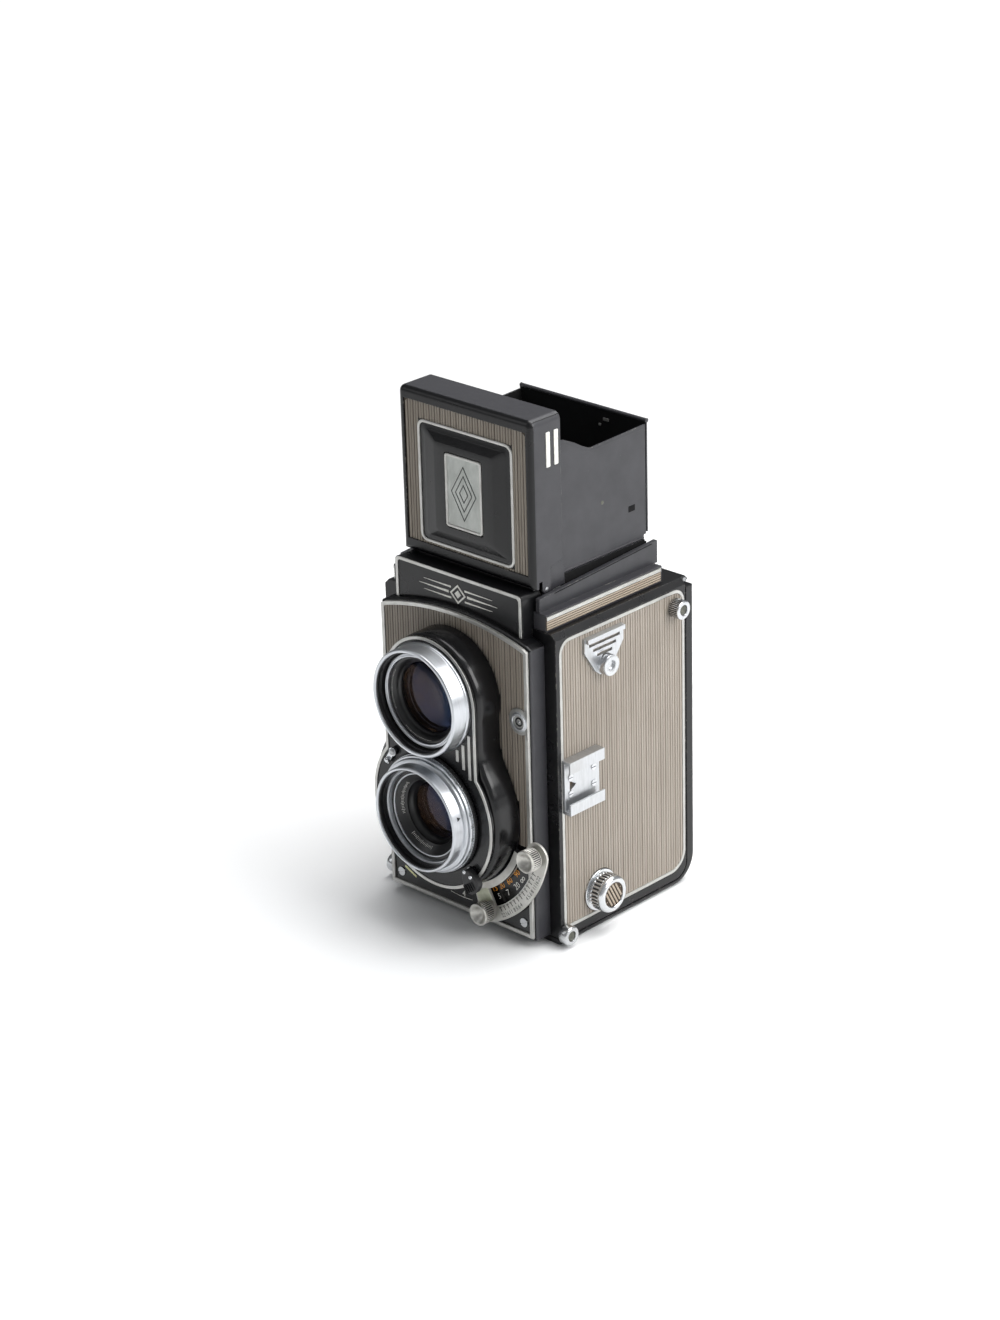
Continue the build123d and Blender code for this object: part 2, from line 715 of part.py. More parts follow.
LEVER_R_OUT = 47.0
LEVER_STEP_IN, LEVER_STEP_OUT = 31.6, 34.5  # radii of the step from ring to lever
LEVER_REAR = -1.1
LEVER_FACE = -2.0
LEVER_T = LEVER_REAR - LEVER_FACE
LEVER_START, LEVER_END = -74, -19.0  # angles of the wide part
FOCUS_RING_REAR = 0.3
KNOB_PITCH_R = 41.9
KNOB_ANGLES = (-12.4, -66.5)

# Focusing ring behind the shroud with the lever sector that carries the scale window.
with BuildPart() as focus_lever:
    extrude(sector_face(28.8, 31.0, -120, 41, FOCUS_RING_REAR), amount=0.5)
    extrude(
        sector_face(28.9, LEVER_STEP_OUT, LEVER_START, LEVER_END, FOCUS_RING_REAR), amount=0.5
    )
    extrude(
        sector_face(LEVER_STEP_IN, LEVER_STEP_OUT, LEVER_START, LEVER_END, FOCUS_RING_REAR),
        amount=FOCUS_RING_REAR - LEVER_FACE,
    )
    extrude(
        sector_face(LEVER_STEP_IN, LEVER_R_OUT, LEVER_START, LEVER_END, LEVER_REAR),
        amount=LEVER_T,
    )
    # narrower end, rounded about the upper knob
    extrude(sector_face(36.8, LEVER_R_OUT, -19.5, KNOB_ANGLES[0], LEVER_REAR), amount=LEVER_T)
    extrude(
        front_disc(taking_polar(KNOB_PITCH_R, KNOB_ANGLES[0]), 5.1, LEVER_REAR), amount=LEVER_T
    )
    extrude(sector_face(34.4, 41.5, -61.5, -20, -1.0), amount=1.2, mode=Mode.SUBTRACT)
save(focus_lever, "focus_lever")

KNOB_NECK_H = 1.2
KNOB_GRIP_H = 5.3

with BuildPart() as focus_knobs:
    for angle in KNOB_ANGLES:
        centre = taking_polar(KNOB_PITCH_R, angle)
        extrude(front_disc(centre, 2.6, LEVER_FACE), amount=KNOB_NECK_H)
        extrude(
            knurled_face(front(LEVER_FACE - KNOB_NECK_H), centre, radius=4.3, teeth=24, notch=0.7),
            amount=KNOB_GRIP_H,
        )
        with BuildSketch(front(LEVER_FACE - KNOB_NECK_H - KNOB_GRIP_H)):
            with Locations(centre):
                Circle(2.3)
        extrude(amount=-1.4, taper=35, mode=Mode.SUBTRACT)
save(focus_knobs, "focus_knobs")

# Fixed flash socket beside the viewing lens.
with BuildPart() as flash_socket:
    extrude(front_disc(FLASH_SOCKET, 3.8, PLATE_FRONT), amount=2.0)
    extrude(front_disc(FLASH_SOCKET, 3.0, -0.4, hole=1.1), amount=0.5, mode=Mode.SUBTRACT)
    extrude(front_disc(FLASH_SOCKET, 3.3, -0.8, hole=2.3), amount=0.8)
save(flash_socket, "flash_socket")

# ---------------------------------------------------------------- lens board and lenses
with BuildPart() as lens_board:
    extrude(board_face(0, BOARD_REAR), amount=BOARD_REAR - BOARD_FRONT)
    extrude(board_face(-SKIRT_INSET, SKIRT_REAR), amount=SKIRT_REAR - BOARD_REAR)
    extrude(
        board_face(-SKIRT_INSET - SKIRT_WALL, SKIRT_REAR),
        amount=SKIRT_REAR - BOARD_INNER_FACE,
        mode=Mode.SUBTRACT,
    )
    for centre, radius in ((VIEW_CENTRE, 17.6), (TAKE_CENTRE, 19.4)):
        extrude(front_disc(centre, radius, -8), amount=6, mode=Mode.SUBTRACT)
save(lens_board, "lens_board")

OUTLINE_T = 0.35
WAIST_BAR_HALF_W = 0.65
# Upright bars on both sides of the waist: (x, bottom, top)
WAIST_BARS = (
    (19.6, 67.8, 85.2), (16.6, 71.0, 80.7), (13.6, 73.4, 77.9),
    (-19.6, 73.0, 85.2), (-16.6, 75.0, 80.7),
)

with BuildPart() as board_outline:
    extrude(board_face(0, BOARD_FRONT), amount=OUTLINE_T)
    extrude(board_face(-1.2, BOARD_FRONT), amount=OUTLINE_T, mode=Mode.SUBTRACT)
    for x, bottom, top in WAIST_BARS:
        extrude(
            front_rect(x - WAIST_BAR_HALF_W, x + WAIST_BAR_HALF_W, bottom, top, BOARD_FRONT),
            amount=OUTLINE_T,
        )
save(board_outline, "board_outline")

# Turned pieces: (radius, depth) round the half section
turned_piece("viewing_barrel", VIEW_Z, [
    (20.95, BOARD_FRONT), (20.95, -14.2), (20.55, -15.0), (20.55, -20.6),
    (20.15, -21.0), (19.3, -21.0), (19.0, -20.6), (19.0, BOARD_FRONT),
])
turned_piece("viewing_mount", VIEW_Z, [
    (18.9, -12.9), (18.9, -17.0), (17.9, -17.4), (16.5, -17.4), (16.3, -16.1), (15.7, -16.1),
    (15.3, -15.9), (13.4, -13.2), (13.4, 3.0), (17.4, 3.0), (17.4, -12.9),
])
turned_piece("taking_barrel", TAKE_Z, [
    (21.8, -16.5), (21.8, -17.3), (21.4, -17.7), (20.2, -17.7), (20.2, -22.1),
    (19.8, -22.5), (19.2, -22.5), (18.9, -22.1), (18.9, -16.5),
])
turned_piece("taking_mount", TAKE_Z, [
    (18.8, -16.5), (18.8, -18.1), (17.6, -18.1), (17.4, -16.8), (15.9, -16.8), (15.4, -16.5),
    (10.8, -11.0), (10.8, -8.4), (15.4, -8.4), (15.4, -16.0), (15.6, -16.5),
])
turned_piece("shutter_housing", TAKE_Z, [
    (19.3, -16.45), (19.3, 3.0), (10.6, 3.0), (10.6, -2.2), (13.5, -2.2),
    (13.5, -8.2), (15.5, -8.2), (15.5, -16.0), (15.9, -16.45),
])

# Front and rear elements: (radius, front vertex, front sag, rear vertex, rear sag)
lens_piece("viewing_lens", VIEW_Z, [(13.3, -14.9, 2.2, -9.2, 0.5), (13.3, -1.2, 0.4, 2.4, 1.2)])
lens_piece("taking_lens", TAKE_Z, [(10.7, -11.9, 1.5, -8.6, 0.4), (10.5, -2.1, 0.3, 2.2, 1.2)])

RING_BORE_R = 19.4
SPEED_RING_REAR = -14.65
APERTURE_RING_REAR = -13.0
APERTURE_RING_T = 1.5

with BuildPart() as speed_ring:
    extrude(front_disc(TAKE_CENTRE, 22.5, SPEED_RING_REAR, hole=RING_BORE_R), amount=1.7)
    # outer edge of the front face
    chamfer(speed_ring.faces().sort_by(Axis.Y)[0].edges().sort_by(SortBy.RADIUS)[-1:], 0.5)
save(speed_ring, "speed_ring")

with BuildPart() as aperture_ring:
    extrude(
        knurled_face(front(APERTURE_RING_REAR), TAKE_CENTRE, radius=23.3, teeth=90, notch=0.8),
        amount=APERTURE_RING_T,
    )
    extrude(
        front_disc(TAKE_CENTRE, RING_BORE_R, APERTURE_RING_REAR),
        amount=APERTURE_RING_T,
        mode=Mode.SUBTRACT,
    )
save(aperture_ring, "aperture_ring")


def blade_set(name, count, r_in, gap, depth, thickness):
    """Ring of equal blades; gap is the angle left at each end of a blade."""
    pitch = 360 / count
    with BuildPart() as piece:
        for i in range(count):
            start = pitch * i
            extrude(
                sector_face(r_in, 13.2, start + gap, start + pitch - gap, depth),
                amount=thickness,
            )
    save(piece, name)


# The shutter is closed, the iris wide open.
blade_set("shutter_blades", count=5, r_in=0.4, gap=1.5, depth=-6.0, thickness=0.25)
blade_set("aperture_blades", count=10, r_in=9.2, gap=0.8, depth=-4.4, thickness=0.2)

PIVOT_REAR = -12.86
RELEASE_PIVOT = (18.0, 31.6)
RELEASE_OUTLINE = [
    (16.6, 30.6), (18.9, 33.0), (24.3, 29.4), (24.0, 26.2), (21.2, 23.4), (17.9, 24.2),
]

with BuildPart() as release_lever:
    with BuildSketch(front(-13.3)):
        with BuildLine():
            Polyline(*RELEASE_OUTLINE, close=True)
        make_face()
        fillet(vertices(), 1.0)
    extrude(amount=2.6)
    extrude(front_disc(RELEASE_PIVOT, 1.0, PIVOT_REAR), amount=3.4)
save(release_lever, "release_lever")

SYNC_PIVOT = (-18.6, 67.9)

with BuildPart() as sync_lever:
    with BuildSketch(front(-13.35)):
        with Locations(SYNC_PIVOT):
            Circle(1.7)
        with Locations((-20.4, 65.2)):
            Rectangle(2.2, 5.4, rotation=-32)
    extrude(amount=1.1)
    extrude(front_disc(SYNC_PIVOT, 0.9, PIVOT_REAR), amount=1.9)
save(sync_lever, "sync_lever")

ROD_REAR = 24.0

with BuildPart() as guide_rods:
    with BuildSketch(front(ROD_REAR)):
        with Locations(*ROD_PLACES):
            Circle(ROD_R)
    extrude(amount=ROD_REAR - BOARD_INNER_FACE)
save(guide_rods, "guide_rods")

# ---------------------------------------------------------------- nameplate and sides
NAMEPLATE_HALF_W = 31.6
NAMEPLATE_FRONT = 3.6
NAMEPLATE_REAR = 13.1

with BuildPart() as nameplate:
    extrude(
        front_rect(-NAMEPLATE_HALF_W, NAMEPLATE_HALF_W, 119, 136.5, NAMEPLATE_REAR),
        amount=NAMEPLATE_REAR - NAMEPLATE_FRONT,
    )
    # clear the front plate's arch and the body's top
    extrude(
        arch_face(PLATE_MARGIN + 0.02, BODY_FRONT + 0.02), amount=12, mode=Mode.SUBTRACT
    )
    extrude(
        front_rect(-32, 32, 118, BODY_TOP, NAMEPLATE_REAR + 0.1),
        amount=NAMEPLATE_REAR + 0.1 - BODY_FRONT,
        mode=Mode.SUBTRACT,
    )
    fillet(nameplate.edges().filter_by(Axis.Y).group_by(Axis.Z)[-1], 2.0)
save(nameplate, "nameplate")

# Bright border round the top and sides of the nameplate.
with BuildPart() as nameplate_outline:
    with BuildSketch(front(NAMEPLATE_FRONT)):
        with Locations((0, 128.5)):
            RectangleRounded(62.4, 16.0, 2.0)
        with Locations((0, 127.0)):
            RectangleRounded(60.0, 16.6, 1.2, mode=Mode.SUBTRACT)
        with Locations((0, 120.0)):
            Rectangle(70, 7.0, mode=Mode.SUBTRACT)
    extrude(amount=OUTLINE_T)
    with BuildSketch(front(NAMEPLATE_FRONT)):
        with Locations((-30.6, 122.2), (30.6, 122.2)):
            Rectangle(1.2, 3.0)
    extrude(amount=OUTLINE_T)
save(nameplate_outline, "nameplate_outline")

SIDE_COVERING_T = 0.3
# Clearance holes for the knobs and upper studs: (start x, length, centre, radius)
COVERING_HOLES = (
    (42.0, 0.5, SUPPLY, 8.2), (42.0, 0.5, UPPER_STUD, 2.05),
    (-42.5, 0.6, TAKEUP, 3.3), (-42.5, 0.6, UPPER_STUD, 2.05),
)

with BuildPart() as side_coverings:
    for sign in BOTH_SIDES:
        x_start = side_start(sign, SIDE_POCKET_X, SIDE_POCKET_X + SIDE_COVERING_T)
        extrude(side_panel_face(x_start, -1.35), amount=SIDE_COVERING_T)
    for x_start, length, centre, radius in COVERING_HOLES:
        extrude(side_disc(x_start, centre, radius), amount=length, mode=Mode.SUBTRACT)
save(side_coverings, "side_coverings")

SIDE_TRIM_T = 0.55

with BuildPart() as side_trims:
    for sign in BOTH_SIDES:
        x_start = side_start(sign, SIDE_POCKET_X, SIDE_POCKET_X + SIDE_TRIM_T)
        extrude(side_panel_face(x_start, -0.02), amount=SIDE_TRIM_T)
        extrude(side_panel_face(x_start, -1.3), amount=SIDE_TRIM_T, mode=Mode.SUBTRACT)
save(side_trims, "side_trims")

SHOE_FRONT, SHOE_REAR = 10.6, 28.9
SHOE_BOTTOM, SHOE_TOP = 53.1, 74.1
SHOE_SEAT_X = 42.3
SHOE_RAIL_T = 1.2
SHOE_RAIL_H = 2.0
SHOE_LIP_W = 4.5

# Standard accessory shoe, 18.6 mm between its rails.
with BuildPart() as accessory_shoe:
    extrude(
        side_rect(SHOE_BASE_X, SHOE_FRONT, SHOE_REAR, SHOE_BOTTOM, SHOE_TOP), amount=SHOE_BASE_T
    )
    extrude(
        side_rect(SHOE_SEAT_X, 12.0, SHOE_REAR, SHOE_BOTTOM, SHOE_TOP),
        amount=SHOE_BASE_X - SHOE_SEAT_X,
    )
    for rail, lip in (
        ((SHOE_BOTTOM, SHOE_BOTTOM + SHOE_RAIL_T), (SHOE_BOTTOM, SHOE_BOTTOM + SHOE_LIP_W)),
        ((SHOE_TOP - SHOE_RAIL_T, SHOE_TOP), (SHOE_TOP - SHOE_LIP_W, SHOE_TOP)),
    ):
        extrude(side_rect(SHOE_FACE_X, SHOE_FRONT, SHOE_REAR, *rail), amount=SHOE_RAIL_H)
        extrude(side_rect(SHOE_FACE_X + SHOE_RAIL_H, SHOE_FRONT, SHOE_REAR, *lip), amount=0.8)
    # small triangular opening of the stop
    extrude(
        side_face(SHOE_SEAT_X, [(13.2, 61.4), (16.6, 63.4), (13.2, 65.4)]),
        amount=1.5,
        mode=Mode.SUBTRACT,
    )
save(accessory_shoe, "accessory_shoe")

LUG_PLATE_X = 42.3
LUG_PLATE_T = 1.3
LUG_PLATE_FACE = LUG_PLATE_X + LUG_PLATE_T
LUG_LIP_T = 1.4
STRAP_STUD = (33.0, 105.0)
STRAP_STUD_H = 3.4
STRAP_STUD_FACE = LUG_PLATE_FACE + STRAP_STUD_H
SLOT_BOTTOMS = (108.9, 111.2, 113.5)
# Plate outline, (depth, z)
LUG_PLATE = [
    (22.5, 117.3), (22.4, 112.0), (28.0, 103.5), (30.6, 101.4),
    (35.4, 101.3), (38.3, 105.0), (43.0, 111.2), (43.0, 117.3),
]

# Strap lug plates, each with three slots, a lip and a round stud.
with BuildPart() as strap_lugs:
    for sign in BOTH_SIDES:
        plate_x = side_start(sign, LUG_PLATE_X, LUG_PLATE_FACE)
        extrude(side_face(plate_x, LUG_PLATE), amount=LUG_PLATE_T)
        x_start = side_start(sign, LUG_PLATE_FACE, LUG_PLATE_FACE + LUG_LIP_T)
        extrude(side_rect(x_start, 23.0, 42.6, 115.6, 117.3), amount=LUG_LIP_T)
        # slots, longer towards the top
        for z in SLOT_BOTTOMS:
            half_len = 4.0 + (z - SLOT_BOTTOMS[0]) * 0.9
            extrude(
                side_rect(plate_x, 33 - half_len, 33 + half_len, z, z + 1.1),
                amount=LUG_PLATE_T,
                mode=Mode.SUBTRACT,
            )
        x_start = side_start(sign, LUG_PLATE_FACE, STRAP_STUD_FACE)
        extrude(side_disc(x_start, STRAP_STUD, 3.9), amount=STRAP_STUD_H)
        x_start = side_start(sign, STRAP_STUD_FACE - 1.0, STRAP_STUD_FACE + 0.01)
        extrude(side_disc(x_start, STRAP_STUD, 1.9), amount=1.01, mode=Mode.SUBTRACT)
save(strap_lugs, "strap_lugs")

# ---------------------------------------------------------------- hood
HOOD_HALF_W = 38.0
HOOD_FRONT = 9.0
HOOD_FRAME_H = 6.4
HOOD_FRAME_TOP = BODY_TOP + HOOD_FRAME_H
RIM_INNER, RIM_OUTER = 32.8, 34.6
RAIL_INNER, RAIL_OUTER = 29.2, 31.1
RAIL_DROP = 0.55  # rail top below its flap's hinge
STRIP_X = 37.6  # floor of the side strips' pockets
EAR_INNER, EAR_OUTER = 29.7, 31.0
EAR_T = EAR_OUTER - EAR_INNER
# Side profiles, (depth, z)
RIM_PROFILE = [(9.3, HOOD_FRAME_TOP), (71.9, HOOD_FRAME_TOP), (71.9, 138.0), (9.3, 134.6)]
EAR_PROFILE = [
    (14.4, 129.0), (21.0, 129.0), (19.6, 137.0), (15.0, 142.0), (13.4, 142.0), (14.4, 138.0),
]

# Base of the hood: a lower frame on the body and an upper rim.
with BuildPart() as hood_base:
    extrude(plan_rect(-HOOD_HALF_W, HOOD_HALF_W, HOOD_FRONT, 70.4, BODY_TOP), amount=HOOD_FRAME_H)
    # outer rim walls with a sloping top
    for sign in BOTH_SIDES:
        x_start = side_start(sign, RIM_INNER, RIM_OUTER)
        extrude(side_face(x_start, RIM_PROFILE), amount=RIM_OUTER - RIM_INNER)
    # inner rails that carry the side flaps
    for x_start, flap_z in ((-RAIL_OUTER, LEFT_FLAP_Z), (RAIL_INNER, RIGHT_FLAP_Z)):
        x_end = x_start + RAIL_OUTER - RAIL_INNER
        extrude(
            plan_rect(x_start, x_end, FLAP_FRONT + 1.6, 69.0, HOOD_FRAME_TOP),
            amount=flap_z - RAIL_DROP - HOOD_FRAME_TOP,
        )
    # rear wall and the ledge at its foot
    extrude(plan_rect(-RAIL_OUTER, RAIL_OUTER, 68.8, 70.0, HOOD_FRAME_TOP), amount=8.0)
    extrude(plan_rect(-RIM_OUTER, RIM_OUTER, 69.0, 70.6, HOOD_FRAME_TOP), amount=1.0)
    # light well over the focusing screen, and the screen's own seat
    extrude(screen_face(-0.2, BODY_TOP), amount=20, mode=Mode.SUBTRACT)
    extrude(screen_face(1.2, BODY_TOP), amount=1.7, mode=Mode.SUBTRACT)
    # room for the nameplate housing
    extrude(
        plan_rect(
            -NAMEPLATE_HALF_W - 0.2, NAMEPLATE_HALF_W + 0.2, 0, NAMEPLATE_REAR + 0.2, BODY_TOP
        ),
        amount=20,
        mode=Mode.SUBTRACT,
    )
    # pockets for the side strips
    for sign in BOTH_SIDES:
        x_start = side_start(sign, STRIP_X, HOOD_HALF_W + 0.1)
        extrude(
            side_rect(x_start, HOOD_FRONT, 69.8, 123.6, 128.8), amount=0.5, mode=Mode.SUBTRACT
        )
    # ears inside the lid's side walls that carry its hinge
    for sign in BOTH_SIDES:
        x_start = side_start(sign, EAR_INNER, EAR_OUTER)
        extrude(side_face(x_start, EAR_PROFILE), amount=EAR_T)
        extrude(side_disc(x_start, HOOD_HINGE, 1.6), amount=EAR_T)
        extrude(side_disc(x_start, HOOD_HINGE, 0.86), amount=EAR_T, mode=Mode.SUBTRACT)
save(hood_base, "hood_base")

# Strips along both sides of the lower hood frame: (bottom, top, thickness) of the
# covering and of its bright edge.
with BuildPart() as hood_strips:
    for sign in BOTH_SIDES:
        for bottom, top, thickness in ((123.65, 127.4, 0.4), (127.4, 128.75, 0.7)):
            x_start = side_start(sign, STRIP_X, STRIP_X + thickness)
            extrude(side_rect(x_start, 9.05, 69.75, bottom, top), amount=thickness)
save(hood_strips, "hood_strips")

LID_HALF_W = 32.5
LID_FRONT = 9.0
LID_REAR = 23.9
LID_BOTTOM = 137.1
LID_TOP = 200.0
LID_WALL = 1.2
LID_PANEL_REAR = 11.6
LID_RECESS = 10.1  # depth of the recess floor behind the covering
LID_COVER_HALF_W = 29.8
LID_COVER_BOTTOM, LID_COVER_TOP = 142.0, 195.6
LID_FIELD = (0, 166.1)
LID_FIELD_T = 0.7
LID_BADGE = (0, 166.0)
MAGNIFIER_HINGE = (13.25, 186.0)
# Side profiles, (depth, z)
HINGE_CUTBACK = [
    (LID_PANEL_REAR, 130), (LID_PANEL_REAR, 139.6), (17.6, 139.6),
    (17.6, 143.6), (24.5, 145.2), (24.5, 130),
]
LID_FOOT = [(13.3, 139.8), (13.3, 136.0), (14.2, 135.0), (17.5, 135.0), (17.5, 139.8)]
MAGNIFIER_LUG = [(11.5, 183.6), (13.9, 183.6), (14.6, 186.0), (13.9, 188.4), (11.5, 188.4)]

# Lid: a shallow tray standing upright when the hood is open.
with BuildPart() as hood_lid:
    extrude(
        front_rect(-LID_HALF_W, LID_HALF_W, LID_BOTTOM, LID_TOP, LID_REAR),
        amount=LID_REAR - LID_FRONT,
    )
    fillet(hood_lid.edges().filter_by(Axis.Y).group_by(Axis.Z)[-1], 2.6)
    fillet(hood_lid.faces().sort_by(Axis.Y)[0].edges(), 2.2)
    # inside of the tray, open towards the hood and at its lower end
    extrude(
        front_rect(
            -LID_HALF_W + LID_WALL, LID_HALF_W - LID_WALL, 134.6, LID_TOP - LID_WALL, LID_REAR
        ),
        amount=LID_REAR - LID_PANEL_REAR,
        mode=Mode.SUBTRACT,
    )
    # side walls cut back at the hinge end
    extrude(side_face(-40, HINGE_CUTBACK), amount=80, mode=Mode.SUBTRACT)
    # recess for the covering
    extrude(
        front_rect(
            -LID_COVER_HALF_W, LID_COVER_HALF_W, LID_COVER_BOTTOM, LID_COVER_TOP, LID_RECESS
        ),
        amount=2.0,
        mode=Mode.SUBTRACT,
    )
    # raised field inside the trim, and the seat of the badge
    with BuildSketch(front(LID_RECESS)):
        with Locations(LID_FIELD):
            Rectangle(46.0, 46.0)
    extrude(amount=LID_FIELD_T)
    with BuildSketch(front(LID_RECESS)):
        with Locations(LID_BADGE):
            RectangleRounded(19.0, 28.9, 1.6)
    extrude(amount=0.8, mode=Mode.SUBTRACT)
    # hinge pins
    for x_start in (-31.6, 29.6):
        extrude(side_disc(x_start, HOOD_HINGE, 0.8), amount=2.0)
    # side walls carried down past the hinge line inside the hood's rim
    for sign in BOTH_SIDES:
        x_start = side_start(sign, LID_HALF_W - 0.75, LID_HALF_W)
        extrude(side_face(x_start, LID_FOOT), amount=0.75)
    # hinge lugs and pin of the magnifier arm
    for x_start in (-9.2, 6.2):
        extrude(side_face(x_start, MAGNIFIER_LUG), amount=3.0)
    extrude(side_disc(-9.2, MAGNIFIER_HINGE, 0.75), amount=18.4)
save(hood_lid, "hood_lid")

with BuildPart() as lid_covering:
    extrude(
        front_rect(
            -LID_COVER_HALF_W + 0.05, LID_COVER_HALF_W - 0.05,
            LID_COVER_BOTTOM + 0.05, LID_COVER_TOP - 0.05, LID_RECESS,
        ),
        amount=0.5,
    )
    with BuildSketch(front(LID_RECESS)):
        with Locations(LID_FIELD):
            Rectangle(46.6, 46.6)
    extrude(amount=0.5, mode=Mode.SUBTRACT)
save(lid_covering, "lid_covering")

LID_BAR_T = 0.3
LID_BAR_W = 2.0

with BuildPart() as lid_trim:
    with BuildSketch(front(LID_RECESS - LID_FIELD_T)):
        with Locations(LID_FIELD):
            RectangleRounded(46.5, 46.5, 1.0)
            RectangleRounded(44.3, 44.3, 0.6, mode=Mode.SUBTRACT)
    extrude(amount=0.4)
    # two bright bars on each side wall of the lid
    for sign in (-1, 1):
        x_start = side_start(sign, LID_HALF_W, LID_HALF_W + LID_BAR_T)
        for depth in (16.4, 20.5):
            extrude(
                side_rect(x_start, depth, depth + LID_BAR_W, 181.4, 194.3), amount=LID_BAR_T
            )
save(lid_trim, "lid_trim")

with BuildPart() as lid_badge:
    with BuildSketch(front(LID_RECESS)):
        with Locations(LID_BADGE):
            RectangleRounded(17.8, 27.7, 1.2)
    extrude(amount=0.9)
save(lid_badge, "lid_badge")

FLAP_X = 30.55
FLAP_REAR = 70.1
# Upper edge of a side flap from rear to front, (depth, z)
FLAP_TOP_EDGE = [
    (FLAP_REAR, 182.2), (41.0, 181.4), (37.0, 183.2),
    (33.0, 185.6), (27.5, 188.2), (FLAP_FRONT, 188.8),
]


def side_flap(name, x, hinge_z):
    """Thin upright flap with a hinge bead along its foot."""
    foot_z = hinge_z + 1.2
    with BuildPart() as piece:
        extrude(
            side_face(
                x - FLAP_T / 2, [(FLAP_FRONT, foot_z), (FLAP_REAR, foot_z), *FLAP_TOP_EDGE]
            ),
            amount=FLAP_T,
        )
        with BuildSketch(front(FLAP_REAR - 1.2)):
            with Locations((x, hinge_z)):
                Circle(0.5)
                with Locations((0, 0.7)):
                    Rectangle(0.7, 1.4)
        extrude(amount=FLAP_REAR - FLAP_FRONT - 3.0)
    save(piece, name)


# The left flap folds first and is hinged lower.
side_flap("left_flap", -FLAP_X, LEFT_FLAP_Z)
side_flap("right_flap", FLAP_X, RIGHT_FLAP_Z)

REAR_HINGE = (70.75, 140.1)
REAR_FLAP_BACK = REAR_HINGE[0] + FLAP_T / 2
REAR_FLAP_HALF_W = 31.0
REAR_FLAP_TOP = 183.4
REAR_BEAD_HALF_LEN = 29.0

with BuildPart() as rear_flap:
    extrude(
        front_rect(
            -REAR_FLAP_HALF_W, REAR_FLAP_HALF_W, REAR_HINGE[1] + 0.8, REAR_FLAP_TOP,
            REAR_FLAP_BACK,
        ),
        amount=FLAP_T,
    )
    # hinge bead along the foot and rolled edge along the top
    extrude(side_disc(-REAR_BEAD_HALF_LEN, REAR_HINGE, 0.5), amount=2 * REAR_BEAD_HALF_LEN)
    extrude(
        front_rect(
            -REAR_BEAD_HALF_LEN, REAR_BEAD_HALF_LEN, REAR_HINGE[1], REAR_HINGE[1] + 1.0,
            REAR_FLAP_BACK,
        ),
        amount=FLAP_T,
    )
    extrude(
        side_disc(-REAR_FLAP_HALF_W, (REAR_HINGE[0] + 0.25, REAR_FLAP_TOP), 0.75),
        amount=2 * REAR_FLAP_HALF_W,
    )
save(rear_flap, "rear_flap")

MAGNIFIER_REACH = 28.0
MAGNIFIER_Z = MAGNIFIER_HINGE[1] - MAGNIFIER_REACH
ARM_REAR = 14.2
ARM_T = 2.2
ARM_HALF_W = 5.8

# Magnifier: an arm with a lens ring, stowed against the lid.
with BuildPart() as magnifier_arm:
    with BuildSketch(front(ARM_REAR)):
        with Locations((0, MAGNIFIER_Z)):
            Circle(12.6)
        with Locations((0, (MAGNIFIER_Z + MAGNIFIER_HINGE[1]) / 2)):
            Rectangle(2 * ARM_HALF_W, MAGNIFIER_REACH)
        with Locations((0, MAGNIFIER_Z)):
            Circle(10.6, mode=Mode.SUBTRACT)
    extrude(amount=ARM_T)
    extrude(side_disc(-ARM_HALF_W, MAGNIFIER_HINGE, 1.6), amount=2 * ARM_HALF_W)
    extrude(
        side_disc(-ARM_HALF_W, MAGNIFIER_HINGE, 0.85), amount=2 * ARM_HALF_W, mode=Mode.SUBTRACT
    )
    with BuildSketch(front(ARM_REAR)):
        with Locations((0, MAGNIFIER_Z + 18.6)):
            RectangleRounded(6.0, 5.0, 1.0)
    extrude(amount=ARM_T, mode=Mode.SUBTRACT)
save(magnifier_arm, "magnifier_arm")

lens_piece("magnifier_lens", MAGNIFIER_Z, [(10.55, 12.05, 0.6, 14.15, 0.6)])

# ---------------------------------------------------------------- back
COVER_REAR = 83.0
COVER_TOP = 119.5
COVER_GAP = 0.5  # between the body and the inside of the back
CORNER_R = 11.0
CORNER_DEPTH = COVER_REAR - CORNER_R
COVER_INNER = BODY_REAR + COVER_GAP
COVER_FLOOR = BODY_BOTTOM - COVER_GAP
INNER_R = COVER_INNER - CORNER_DEPTH
INNER_CORNER_Z = COVER_FLOOR + INNER_R
HOLLOW_REAR = 81.0
BARREL_X, BARREL_LEN = -15.6, 31.2

